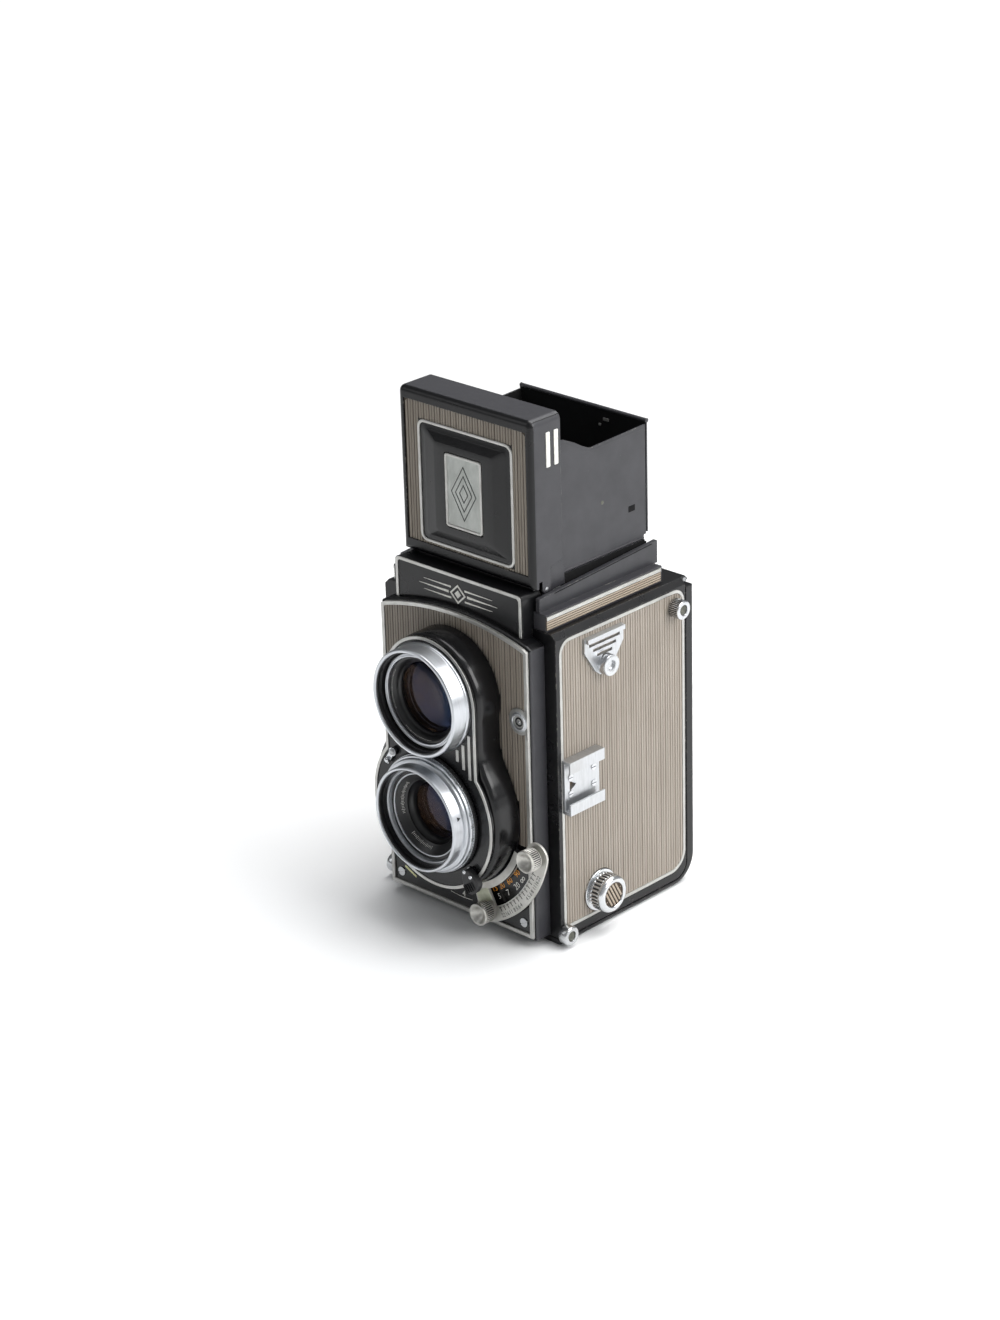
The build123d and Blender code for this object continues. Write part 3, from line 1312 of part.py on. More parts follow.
# Back: one piece covering the rear and the bottom, hinged at the top.
with BuildPart() as back_cover:
    with BuildSketch(side(-BODY_HALF_W)):
        with BuildLine():
            outer_y, inner_y = model_y(COVER_REAR), model_y(COVER_INNER)
            corner_y, front_y = model_y(CORNER_DEPTH), model_y(COVER_FRONT)
            Line((outer_y, COVER_TOP), (outer_y, CORNER_R))
            ThreePointArc(
                (outer_y, CORNER_R),
                (corner_y + CORNER_R * DIAGONAL, CORNER_R - CORNER_R * DIAGONAL),
                (corner_y, 0),
            )
            Line((corner_y, 0), (front_y, 0))
            Line((front_y, 0), (front_y, COVER_FLOOR))
            Line((front_y, COVER_FLOOR), (corner_y, COVER_FLOOR))
            ThreePointArc(
                (corner_y, COVER_FLOOR),
                (corner_y + INNER_R * DIAGONAL, INNER_CORNER_Z - INNER_R * DIAGONAL),
                (inner_y, INNER_CORNER_Z),
            )
            Line((inner_y, INNER_CORNER_Z), (inner_y, COVER_TOP))
            Line((inner_y, COVER_TOP), (outer_y, COVER_TOP))
        make_face()
    extrude(amount=2 * BODY_HALF_W)
    fillet(back_cover.edges().filter_by(Axis.Z).group_by(Axis.Y)[-1], 1.6)
    # hollow of the rear panel
    extrude(
        front_rect(-BODY_INNER, BODY_INNER, 12.0, 117.5, HOLLOW_REAR),
        amount=3.0,
        mode=Mode.SUBTRACT,
    )
    # fork round the floor strip
    extrude(
        plan_rect(-STRIP_HALF_W - 0.2, STRIP_HALF_W + 0.2, 5, BRIDGE_REAR + 0.3, -1),
        amount=4,
        mode=Mode.SUBTRACT,
    )
    # recess for the rear covering
    extrude(front_rect(-38.6, 38.6, 13.0, 116.6, 83.2), amount=0.8, mode=Mode.SUBTRACT)
    # hinge barrel between the body's lugs
    extrude(
        side_face(BARREL_X, [(79.4, 119.4), (82.6, 119.4), (82.3, 121.4), (79.0, 121.4)]),
        amount=BARREL_LEN,
    )
    extrude(side_disc(BARREL_X, BACK_HINGE, 1.7), amount=BARREL_LEN)
    extrude(
        side_disc(BARREL_X, BACK_HINGE, BACK_HINGE_BORE_R), amount=BARREL_LEN, mode=Mode.SUBTRACT
    )
save(back_cover, "back_cover")

with BuildPart() as back_hinge_pin:
    extrude(side_disc(-40.0, BACK_HINGE, 0.78), amount=80.0)
save(back_hinge_pin, "back_hinge_pin")

with BuildPart() as back_covering:
    extrude(front_rect(-38.5, 38.5, 13.1, 116.5, 82.9), amount=0.5)
save(back_covering, "back_covering")

PRESSURE_REAR = 75.4
POST_OFFSET = 18

# Plate that holds the film flat, on two posts.
with BuildPart() as pressure_plate:
    extrude(front_rect(-30.5, 30.5, TAKE_Z - 30, TAKE_Z + 30, PRESSURE_REAR), amount=1.2)
    chamfer(pressure_plate.faces().sort_by(Axis.Y)[0].edges(), 0.5)
    with BuildSketch(front(HOLLOW_REAR)):
        with Locations((0, TAKE_Z - POST_OFFSET), (0, TAKE_Z + POST_OFFSET)):
            Circle(2.2)
    extrude(amount=HOLLOW_REAR - PRESSURE_REAR)
save(pressure_plate, "pressure_plate")

LATCH_BOTTOM = 0.35
LATCH_T = 1.6

# Turning catch of the back, set into the floor strip.
with BuildPart() as back_latch:
    extrude(plan_disc(LATCH_DEPTH, 6.0, LATCH_BOTTOM), amount=LATCH_T)
    # two finger recesses in the underside
    with BuildSketch(Plane.XY.offset(LATCH_BOTTOM)):
        with Locations((-2.6, model_y(LATCH_DEPTH)), (2.6, model_y(LATCH_DEPTH))):
            RectangleRounded(2.4, 8.4, 1.0)
    extrude(amount=0.9, mode=Mode.SUBTRACT)
    # spindle and the catch bar on it
    extrude(plan_disc(LATCH_DEPTH, 2.0, LATCH_BOTTOM + LATCH_T), amount=2.2)
    with BuildSketch(Plane.XY.offset(2.9)):
        with Locations((0, model_y(LATCH_DEPTH))):
            RectangleRounded(12.0, 4.0, 1.5)
    extrude(amount=1.2)
save(back_latch, "back_latch")
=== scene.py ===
"""Twin-lens reflex camera with its viewing hood open, standing on a white floor.

Lengths are in millimetres unless a line says otherwise. A point is (x, d, z): x to the right of
someone facing the lenses, d the depth behind the front trim, z the height. Depth runs along +Y.
"""
import bpy
import bmesh
import math
from mathutils import Matrix, Vector


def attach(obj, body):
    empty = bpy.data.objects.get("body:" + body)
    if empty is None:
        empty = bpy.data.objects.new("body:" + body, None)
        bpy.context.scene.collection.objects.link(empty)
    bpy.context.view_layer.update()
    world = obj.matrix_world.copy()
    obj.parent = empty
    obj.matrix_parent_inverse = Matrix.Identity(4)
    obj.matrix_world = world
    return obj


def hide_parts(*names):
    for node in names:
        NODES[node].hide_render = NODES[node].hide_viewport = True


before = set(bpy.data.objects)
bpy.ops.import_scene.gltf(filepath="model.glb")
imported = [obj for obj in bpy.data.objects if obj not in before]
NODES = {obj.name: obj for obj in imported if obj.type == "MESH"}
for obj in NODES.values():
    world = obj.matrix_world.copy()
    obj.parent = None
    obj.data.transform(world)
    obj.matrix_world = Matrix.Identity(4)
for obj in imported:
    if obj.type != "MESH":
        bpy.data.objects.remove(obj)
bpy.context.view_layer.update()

ORIGIN_DEPTH = 45.0             # depth of y = 0 in the shared frame
VIEW_Z = 94.71                  # height of the viewing lens axis
TAKE_Z = 49.16                  # height of the taking lens axis
SUPPLY_KNOB = (29.7, 15.2)      # side fittings are placed by (d, z)
WIND_KNOB = (67.5, 100.5)
UPPER_STUD = (71.8, 113.9)
LOWER_STUD = (10.2, 4.75)
STRAP_STUD = (33.0, 105.0)
FLASH_SOCKET = (32.2, 90.0)     # front fittings are placed by (x, z)
NAMEPLATE_Z = 129.2
LID_Z = 166.1                   # centre of the square frame on the hood lid
BADGE_Z = 166.0                 # centre of the badge and its raised ground
SIDES = ((1, "right"), (-1, "left"))


def to_scene(x, d, z):
    return Vector((x / 1000.0, (d - ORIGIN_DEPTH) / 1000.0, z / 1000.0))


def place(point, height, axis="y"):
    """A point across an axis and a height along it, as (x, d, z)."""
    return (point[0], height, point[1]) if axis == "y" else (height, point[0], point[1])


def polar(radius, angle, centre_z=TAKE_Z):
    """(x, z) at an angle in degrees round a lens axis."""
    turn = math.radians(angle)
    return (radius * math.cos(turn), centre_z + radius * math.sin(turn))


def spoke(angle):
    """Unit vector outward from a lens axis."""
    turn = math.radians(angle)
    return (math.cos(turn), 0, math.sin(turn))


# ------------------------------------------------------------------ shader graphs
def linear(rgb):
    """Linear RGBA from 0-255 sRGB."""
    out = []
    for v in rgb:
        v = v / 255.0
        out.append(v / 12.92 if v <= 0.04045 else ((v + 0.055) / 1.055) ** 2.4)
    return (*out, 1.0)


class Graph:
    """An emptied node tree with its output node and short ways to add the rest."""

    def __init__(self, owner, output_kind):
        owner.use_nodes = True
        self.tree = owner.node_tree
        self.tree.nodes.clear()
        self.output = self.node(output_kind)

    def fill(self, node, inputs):
        """Link each input to a socket, or set it to a plain value."""
        for key, value in inputs.items():
            if isinstance(value, bpy.types.NodeSocket):
                self.tree.links.new(value, node.inputs[key])
            else:
                node.inputs[key].default_value = value

    def node(self, kind, inputs=None, **settings):
        node = self.tree.nodes.new(kind)
        for key, value in settings.items():
            setattr(node, key, value)
        self.fill(node, inputs or {})
        return node

    def coords(self, output):
        return self.node("ShaderNodeTexCoord").outputs[output]

    def split(self, vector):
        return self.node("ShaderNodeSeparateXYZ", {0: vector}).outputs

    def math(self, operation, a, b=None, clamp=False):
        inputs = {0: a} if b is None else {0: a, 1: b}
        return self.node("ShaderNodeMath", inputs, operation=operation,
                         use_clamp=clamp).outputs[0]

    def ramp(self, value, low, high, start=0.0, end=1.0):
        """Map low..high to start..end."""
        return self.node("ShaderNodeMapRange", {
            "Value": value, "From Min": low, "From Max": high,
            "To Min": start, "To Max": end}).outputs[0]

    def mix(self, factor, a, b):
        return self.node("ShaderNodeMix", {0: factor, 6: a, 7: b}, data_type="RGBA").outputs[2]

    def noise(self, vector, scale, detail, roughness=0.55):
        return self.node("ShaderNodeTexNoise", {
            "Scale": scale, "Detail": detail, "Roughness": roughness,
            "Vector": vector}).outputs[0]

    def bump(self, height, distance, normal=None):
        """Bump of a height in millimetres over an optional normal."""
        inputs = {"Distance": distance / 1000.0, "Height": height}
        if normal is not None:
            inputs["Normal"] = normal
        return self.node("ShaderNodeBump", inputs).outputs[0]


def new_material(name):
    material = bpy.data.materials.new(name)
    graph = Graph(material, "ShaderNodeOutputMaterial")
    shader = graph.node("ShaderNodeBsdfPrincipled")
    graph.fill(graph.output, {0: shader.outputs[0]})
    return material, graph, shader


def turned_vector(graph, coords, axis, centre):
    """Texture space of radius, distance along the axis and angle, so the grain runs in rings."""
    angle_scale = 0.0016
    along, across = (0, 1) if axis == "x" else (1, 0)
    shifted = graph.node("ShaderNodeVectorMath", {0: coords, 1: to_scene(*centre)},
                         operation="SUBTRACT").outputs[0]
    parts = graph.split(shifted)
    squares = [graph.math("MULTIPLY", parts[k], parts[k]) for k in (across, 2)]
    radius = graph.math("SQRT", graph.math("ADD", *squares))
    angle = graph.math("ARCTAN2", parts[across], parts[2])
    return graph.node("ShaderNodeCombineXYZ", {
        0: radius, 1: parts[along],
        2: graph.math("MULTIPLY", angle, angle_scale)}).outputs[0]


def surface(name, colour_a, colour_b, rough, metal=0.0, grain=140.0, stretch=(1, 1, 1),
            turned=None, bump=None, specular=0.5, coat=0.0, edge=0.0, wear=None, speck=None,
            grime=None, patch=1.0, transmission=0.0, ior=1.5, film=0.0):
    """A finish whose colour and roughness vary at two scales.

    rough: lowest and highest roughness. grain: noise scale. turned: (axis, centre) of a turned
    grain. bump: (height, noise scale). edge: radius of edges rounded in shading. wear: colour
    of edges rubbed through. speck: (colour, noise level where it starts). grime: colour of
    broad patches. patch: strength of the broad change in roughness. film: coating in nanometres.
    """
    material, graph, shader = new_material(name)
    coords = graph.coords("Object")
    if turned:
        vector = turned_vector(graph, coords, *turned)
    else:
        vector = graph.node("ShaderNodeMapping", {0: coords, "Scale": stretch}).outputs[0]
    fine = graph.noise(vector, grain, detail=6.0)
    broad = graph.noise(coords, grain * 0.17, detail=3.0)
    colour = graph.mix(graph.ramp(fine, 0.3, 0.7), linear(colour_a), linear(colour_b))
    if grime:
        colour = graph.mix(graph.ramp(broad, 0.52, 0.78, 0.0, 0.6), colour, linear(grime))
    roughness = graph.math("ADD", graph.ramp(fine, 0.3, 0.7, *rough),
                           graph.ramp(broad, 0.3, 0.7, -0.05 * patch, 0.07 * patch), clamp=True)
    if speck:
        dots = graph.noise(coords, scale=2600.0, detail=1.0, roughness=0.3)
        colour = graph.mix(graph.ramp(dots, speck[1], speck[1] + 0.03), colour, linear(speck[0]))
    normal = None
    if edge:
        normal = graph.node("ShaderNodeBevel", {"Radius": edge / 1000.0}, samples=4).outputs[0]
    if wear:
        # worn where the rounded normal leaves the true one, broken up by noise
        true_normal = graph.node("ShaderNodeNewGeometry").outputs["Normal"]
        match = graph.node("ShaderNodeVectorMath", {0: normal, 1: true_normal},
                           operation="DOT_PRODUCT").outputs["Value"]
        broken = graph.noise(coords, scale=420.0, detail=5.0, roughness=0.7)
        mask = graph.math("MULTIPLY", graph.ramp(match, 0.985, 0.86),
                          graph.ramp(broken, 0.54, 0.64), clamp=True)
        colour = graph.mix(mask, colour, linear(wear))
        metal = graph.math("MULTIPLY", mask, 0.8)
    if bump:
        normal = graph.bump(graph.noise(vector, bump[1], detail=3.0), bump[0], normal)
    inputs = {"Base Color": colour, "Roughness": roughness, "Metallic": metal, "IOR": ior,
              "Specular IOR Level": specular, "Coat Weight": coat, "Coat Roughness": 0.12,
              "Transmission Weight": transmission}
    if film:
        inputs.update({"Thin Film Thickness": film, "Thin Film IOR": 1.38})
    if normal is not None:
        inputs["Normal"] = normal
    graph.fill(shader, inputs)
    return material


def screen_material():
    """Ground glass: finely etched, translucent, ruled with thin lines."""
    line_pitch = 13.5
    half_line = 0.012           # part of the pitch
    material, graph, shader = new_material("screen_ground_glass")
    coords = graph.coords("Object")
    position = graph.split(coords)
    rulings = []
    for k in (0, 1):
        shifted = graph.math("ADD", position[k], 7 * line_pitch / 1000.0)
        cell = graph.math("FRACT", graph.math("MULTIPLY", shifted, 1000.0 / line_pitch))
        distance = graph.math("ABSOLUTE", graph.math("SUBTRACT", cell, 0.5))
        rulings.append(graph.math("LESS_THAN", distance, half_line))
    lines = graph.math("MAXIMUM", *rulings)
    etched = graph.noise(coords, scale=900.0, detail=5.0)
    glass = graph.mix(graph.ramp(etched, 0.3, 0.7), linear((120, 124, 120)),
                      linear((98, 102, 99)))
    graph.fill(shader, {
        "Base Color": graph.mix(lines, glass, linear((22, 22, 22))),
        "Roughness": graph.ramp(etched, 0.3, 0.7, 0.35, 0.5),
        "Transmission Weight": 0.35,
        "Normal": graph.bump(graph.noise(coords, scale=6000.0, detail=2.0), 0.01)})
    return material


# ------------------------------------------------------------------ finishes
VIEW_AXIS = ("y", (0, 0, VIEW_Z))
TAKE_AXIS = ("y", (0, 0, TAKE_Z))
LOOKS = {
    # paint and black metal
    "paint": surface("paint_black_gloss", (15, 15, 17), (12, 12, 14), rough=(0.26, 0.32),
                     bump=(0.003, 2600), specular=0.34, coat=0.06, edge=0.45,
                     wear=(138, 134, 126), speck=((58, 58, 60), 0.83), patch=0.5),
    # hood: the hood's own grey-black paint. It is also painted light: a lighter copy of the
    # black paint laid on side-facing and top faces of the body, front plate and lid
    "hood": surface("paint_hood_grey_black_and_lit_sides", (50, 50, 54), (44, 44, 48), rough=(0.42, 0.50),
                    bump=(0.006, 2200), edge=0.35, wear=(140, 138, 132),
                    speck=((96, 96, 96), 0.82), patch=0.5),
    "board": surface("paint_front_board", (12, 12, 14), (9, 9, 11), rough=(0.20, 0.27),
                     bump=(0.002, 3000), specular=0.34, coat=0.12, edge=0.4,
                     wear=(150, 148, 142), patch=0.5),
    "gloss": surface("paint_gloss_panel", (14, 14, 15), (10, 10, 11), rough=(0.14, 0.22),
                     bump=(0.002, 1800), specular=0.4, coat=0.3, speck=((60, 60, 60), 0.84),
                     patch=0.5),
    "matte": surface("paint_inside_matte", (15, 15, 16), (10, 10, 11), rough=(0.82, 0.92),
                     bump=(0.02, 3200), specular=0.25),
    "knurl_black": surface("anodised_black", (20, 20, 22), (13, 13, 15), rough=(0.32, 0.44),
                           bump=(0.006, 4000), edge=0.12, wear=(120, 120, 118)),
    # ribbed covering: rib and groove_side are lighter copies for the sides and back, as painted
    # light. rib_front and groove are darker copies for the front and lid, as painted shade, and
    # groove is also the base of the hood strips
    "groove": surface("covering_groove_shaded_front", (80, 70, 59), (58, 50, 42), rough=(0.62, 0.75),
                      grain=60, stretch=(9, 9, 0.35), bump=(0.01, 1600)),
    "groove_side": surface("covering_groove_lit_side", (122, 110, 96), (98, 87, 74),
                           rough=(0.58, 0.70), grain=60, stretch=(9, 9, 0.35),
                           bump=(0.008, 1600)),
    "groove_dark": surface("covering_groove_dark", (70, 56, 43), (52, 41, 31),
                           rough=(0.62, 0.75), grain=60, bump=(0.008, 1600)),
    "rib": surface("covering_rib_lit_side", (160, 152, 142), (142, 134, 124), rough=(0.38, 0.48),
                   grain=75, stretch=(9, 9, 0.3), bump=(0.010, 2600), specular=0.45,
                   grime=(128, 119, 108)),
    "rib_front": surface("covering_rib_shaded_front", (142, 134, 123), (122, 114, 103),
                         rough=(0.40, 0.52), grain=75, stretch=(9, 9, 0.3),
                         bump=(0.010, 2600), specular=0.4, grime=(104, 93, 80)),
    "rib_strip": surface("covering_rib_strip", (176, 165, 149), (146, 130, 112),
                         rough=(0.38, 0.5), grain=70, stretch=(1, 0.3, 9),
                         bump=(0.010, 2600), grime=(128, 106, 88)),
    # bright metal
    "trim": surface("trim_satin_silver", (192, 192, 189), (174, 173, 169), rough=(0.30, 0.40),
                    metal=0.75, grain=200, bump=(0.004, 2400), edge=0.2,
                    speck=((132, 126, 116), 0.82), patch=0.5),
    "chrome": surface("chrome_polished", (206, 208, 211), (196, 198, 200), rough=(0.21, 0.26),
                      metal=1.0, grain=160, grime=(176, 175, 172), patch=0.15),
    "frost": surface("silver_frosted", (206, 205, 200), (188, 187, 181), rough=(0.36, 0.46),
                     metal=0.7, grain=260, bump=(0.008, 3800), grime=(178, 173, 163),
                     patch=0.5),
    "knob_frost": surface("silver_knurled_frosted", (196, 195, 190), (172, 170, 164),
                          rough=(0.34, 0.44), metal=0.85, grain=900, bump=(0.01, 4200),
                          grime=(140, 136, 128), patch=0.5),
    "plate": surface("plated_sheet", (200, 202, 205), (188, 190, 192), rough=(0.30, 0.38),
                     metal=0.92, grain=240, stretch=(1, 5, 1), bump=(0.003, 1800),
                     grime=(168, 167, 163), patch=0.4),
    "steel": surface("steel_ground", (176, 178, 180), (156, 157, 159), rough=(0.28, 0.38),
                     metal=1.0, grain=320, stretch=(1, 1, 6), bump=(0.004, 1600), patch=0.4),
    "badge": surface("badge_matte_silver", (178, 181, 177), (160, 163, 159),
                     rough=(0.40, 0.48), metal=0.55, grain=420, stretch=(1, 1, 0.4),
                     bump=(0.006, 3000), grime=(150, 152, 147), patch=0.5),
    "badge_line": surface("badge_sunk_line", (92, 94, 92), (74, 76, 74), rough=(0.42, 0.52),
                          metal=0.5, grain=420, bump=(0.006, 3000)),
    "knurl_cut": surface("knurl_cuts_dulled", (74, 74, 75), (52, 52, 54), rough=(0.42, 0.55),
                         metal=0.85, grain=900, bump=(0.004, 4000)),
    "stud_core": surface("stud_core_dulled", (104, 105, 96), (84, 85, 77), rough=(0.44, 0.55),
                         metal=0.6, grain=600, bump=(0.006, 3000)),
    "mirror": surface("mirror_silver", (236, 238, 240), (222, 225, 228), rough=(0.03, 0.05),
                      metal=1.0, grain=60, patch=0.1),
    # markings and small parts
    "ink_white": surface("ink_white", (232, 231, 225), (212, 210, 203), rough=(0.5, 0.6),
                         grain=900, bump=(0.004, 1600)),
    "ink_orange": surface("ink_orange", (238, 164, 62), (214, 138, 46), rough=(0.5, 0.6),
                          grain=900, bump=(0.004, 1600)),
    "ink_black": surface("ink_black", (22, 22, 22), (36, 36, 36), rough=(0.5, 0.62),
                         grain=900, bump=(0.004, 1600)),
    "ink_yellow": surface("ink_yellow", (226, 226, 176), (204, 206, 150), rough=(0.5, 0.6),
                          grain=700, bump=(0.004, 1600)),
    "pad": surface("pad_pale_green", (206, 208, 186), (182, 186, 160), rough=(0.48, 0.6),
                   grain=300, bump=(0.02, 1600)),
    "stop": surface("lens_stop_black", (16, 13, 13), (11, 9, 10), rough=(0.30, 0.36),
                    grain=300, specular=0.4, patch=0.1),
    "plastic": surface("spool_plastic", (40, 38, 37), (28, 27, 26), rough=(0.42, 0.55),
                       grain=200, bump=(0.01, 1600)),
    # glass
    "glass_view": surface("glass_coated_viewing", (168, 158, 152), (176, 166, 160),
                          rough=(0.0, 0.004), transmission=1.0, ior=1.6, film=130.0, grain=20,
                          patch=0.0),
    "glass_take": surface("glass_coated_taking", (172, 158, 150), (180, 166, 158),
                          rough=(0.0, 0.004), transmission=1.0, ior=1.6, film=130.0, grain=20,
                          patch=0.0),
    "glass_mag": surface("glass_magnifier", (246, 250, 249), (250, 252, 252),
                         rough=(0.0, 0.003), transmission=1.0, grain=20, patch=0.0),
    "screen": screen_material(),
}
for suffix, title, lens_axis in (("view", "viewing", VIEW_AXIS), ("take", "taking", TAKE_AXIS)):
    LOOKS["chrome_" + suffix] = surface(
        "chrome_turned_" + title, (200, 203, 207), (186, 189, 193), rough=(0.29, 0.33),
        metal=1.0, grain=1500, turned=lens_axis, patch=0.1)
    LOOKS["black_" + suffix] = surface(
        "black_turned_" + title, (19, 19, 21), (12, 12, 13), rough=(0.28, 0.38), grain=1800,
        bump=(0.003, 5000), turned=lens_axis, patch=0.3)
for suffix, knob in (("supply", SUPPLY_KNOB), ("wind", WIND_KNOB)):
    LOOKS["chrome_" + suffix] = surface(
        "chrome_turned_" + suffix, (212, 214, 216), (204, 206, 208), rough=(0.22, 0.25),
        metal=1.0, grain=900, turned=("x", (0, *knob)), patch=0.05)


# ------------------------------------------------------------------ mesh helpers
def make(name, verts, faces, look, body, slot=None, replaces=None, sharp=38.0, in_scene=False,
         cut_faces=None):
    """A mesh riding on a CAD body, smooth except at edges sharper than sharp degrees.

    verts are (x, d, z), or scene metres if in_scene. cut_faces flags, face by face, those
    that take the dulled knurl finish in a second material slot.
    """
    mesh = bpy.data.meshes.new(name)
    mesh.from_pydata(verts if in_scene else [to_scene(*v) for v in verts], [], faces)
    mesh.validate()
    bm = bmesh.new()
    bm.from_mesh(mesh)
    bmesh.ops.recalc_face_normals(bm, faces=bm.faces)
    limit = math.radians(sharp)
    for face in bm.faces:
        face.smooth = True
    for edge in bm.edges:
        edge.smooth = len(edge.link_faces) == 2 and edge.calc_face_angle(0) <= limit
    bm.to_mesh(mesh)
    bm.free()
    mesh.materials.append(LOOKS[look])
    if cut_faces:
        mesh.materials.append(LOOKS["knurl_cut"])
        for polygon, cut in zip(mesh.polygons, cut_faces):
            polygon.material_index = cut
    ob = bpy.data.objects.new(name, mesh)
    bpy.context.scene.collection.objects.link(ob)
    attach(ob, body)
    if replaces:
        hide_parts(replaces)
    return ob


def loft(rings, wrap=False):
    """Skin over equal rings: the last joined to the first if wrap, else both ends capped."""
    n, count = len(rings[0]), len(rings)
    faces = [] if wrap else [tuple(range(n)), tuple(range((count - 1) * n, count * n))]
    for k in range(count if wrap else count - 1):
        near, far = k * n, (k + 1) % count * n
        faces += [(near + i, near + (i + 1) % n, far + (i + 1) % n, far + i) for i in range(n)]
    return [point for ring in rings for point in ring], faces


def merge(parts):
    """Several (verts, faces) pairs as one."""
    verts, faces = [], []
    for part_verts, part_faces in parts:
        base = len(verts)
        verts += part_verts
        faces += [tuple(base + i for i in face) for face in part_faces]
    return verts, faces


def lathe(name, axis, centre, look, body, profile, seg=0, teeth=0, **placing):
    """A turned piece. profile rows are (radius, height along the axis[, knurl depth]).

    The profile closes on itself unless it ends on the axis. A knurled ring alternates between
    its radius and its radius less the knurl depth, four points to a tooth.
    """
    if teeth:
        seg = teeth * 4
    verts, faces, rings, knurled, cut_faces = [], [], [], [], []
    for radius, height, *knurl in profile:
        depth = knurl[0] if knurl else 0.0
        knurled.append(depth > 0)
        count = seg if radius > 0 else 1
        rings.append(range(len(verts), len(verts) + count))
        for i in range(count):
            angle = 2 * math.pi * i / seg
            r = radius - depth * (0.0, 0.5, 1.0, 0.5)[i % 4]
            across = (centre[0] + r * math.cos(angle), centre[1] + r * math.sin(angle))
            verts.append(place(across, height, axis))
    pairs = list(zip(rings, rings[1:]))
    if profile[-1][0] > 0:
        pairs.append((rings[-1], rings[0]))
    for k, (near, far) in enumerate(pairs):
        if len(near) == len(far) == 1:
            continue
        cut = knurled[k] and knurled[(k + 1) % len(knurled)]
        for i in range(seg):
            j = (i + 1) % seg
            cut_faces.append(int(cut and i % 4 in (1, 2)))
            if len(near) == 1:
                faces.append((near[0], far[j], far[i]))
            elif len(far) == 1:
                faces.append((near[i], near[j], far[0]))
            else:
                faces.append((near[i], near[j], far[j], far[i]))
    if not teeth or look == "knurl_black":
        cut_faces = None
    return make(name, verts, faces, look, body, cut_faces=cut_faces, **placing)


def flip(profile, side):
    """A profile along x for the right (1) or left (-1) side."""
    return [(radius, side * height, *knurl) for radius, height, *knurl in profile]


def rounding(bevel, start, end, segs=3):
    """(inset, height) steps of a quarter round that finishes at height end."""
    way = 1 if end > start else -1
    turns = [math.pi / 2 * i / segs for i in range(segs + 1)]
    return [(bevel * (1 - math.cos(a)), end - way * bevel * (1 - math.sin(a))) for a in turns]


def mitred_inset(outline, inset):
    """A counterclockwise outline moved inward, its corners mitred."""
    out = []
    n = len(outline)
    for i, (x, z) in enumerate(outline):
        before, after = outline[i - 1], outline[(i + 1) % n]
        into = Vector((x - before[0], z - before[1])).normalized()
        away = Vector((after[0] - x, after[1] - z)).normalized()
        normal = Vector((-into.y, into.x))
        mitre = (normal + Vector((-away.y, away.x))).normalized()
        reach = inset / max(0.35, mitre.dot(normal))
        out.append((x + mitre.x * reach, z + mitre.y * reach))
    return out


def slab(name, outline, axis, start, end, look, body, bevel=0.0, segs=3, **placing):
    """An outline given thickness along an axis, its edge at the end height rounded."""
    n = len(outline)
    area = sum(outline[i][0] * outline[(i + 1) % n][1] - outline[(i + 1) % n][0] * outline[i][1]
               for i in range(n))
    if area < 0:
        outline = outline[::-1]
    top = rounding(bevel, start, end, segs) if bevel else [(0.0, end)]
    rings = [[place(p, height, axis) for p in mitred_inset(outline, inset)]
             for inset, height in [(0.0, start)] + top]
    return make(name, *loft(rings), look, body, **placing)


def trim_frame(name, outer, inner, start, end, bevel, replaces):
    """Bright frame on the lid between two matching outlines, both end edges rounded."""
    def band_ring(edge, other, inset, height, most):
        ring = []
        for p, q in zip(edge, other):
            width = math.hypot(p[0] - q[0], p[1] - q[1])
            t = min(most, inset / max(width, 1e-6))
            ring.append(place((p[0] + (q[0] - p[0]) * t, p[1] + (q[1] - p[1]) * t), height))
        return ring

    steps = rounding(bevel, start, end)
    rings = [[place(p, start) for p in outer]]
    rings += [band_ring(outer, inner, *step, most=0.5) for step in steps]
    rings += [band_ring(inner, outer, *step, most=0.49) for step in reversed(steps)]
    rings.append([place(p, start) for p in inner])
    make(name, *loft(rings, wrap=True), "trim", "lid", slot="bright_trim", replaces=replaces)


def rounded_rect(centre, half, radius, seg):
    """Outline of a rectangle with round corners, seg steps to a corner."""
    x0, x1 = centre[0] - half[0], centre[0] + half[0]
    z0, z1 = centre[1] - half[1], centre[1] + half[1]
    points = []
    for cx, cz, start in ((x0 + radius, z0 + radius, 180), (x1 - radius, z0 + radius, 270),
                          (x1 - radius, z1 - radius, 0), (x0 + radius, z1 - radius, 90)):
        for i in range(seg + 1):
            a = math.radians(start + 90.0 * i / seg)
            points.append((cx + radius * math.cos(a), cz + radius * math.sin(a)))
    return points


def lozenge(half_x, half_z, z):
    return [(0, z - half_z), (half_x, z), (0, z + half_z), (-half_x, z)]


def prism(outline, start, end):
    """(verts, faces) of an (x, z) outline between two depths."""
    return loft([[place(p, d) for p in outline] for d in (start, end)])


def bars(name, items, look, body, **placing):
    """Small boxes, each (centre, half vector u, half vector v, half vector w)."""
    parts = []
    for c, u, v, w in items:
        parts.append(loft([[tuple(c[i] + su * u[i] + sv * v[i] + sw * w[i] for i in range(3))
                            for su, sv in ((-1, -1), (1, -1), (1, 1), (-1, 1))]
                           for sw in (-1, 1)]))
    return make(name, *merge(parts), look, body, **placing)


def round_edges(ob, width):
    modifier = ob.modifiers.new("round", "BEVEL")
    modifier.width = width / 1000.0
    modifier.segments = 2


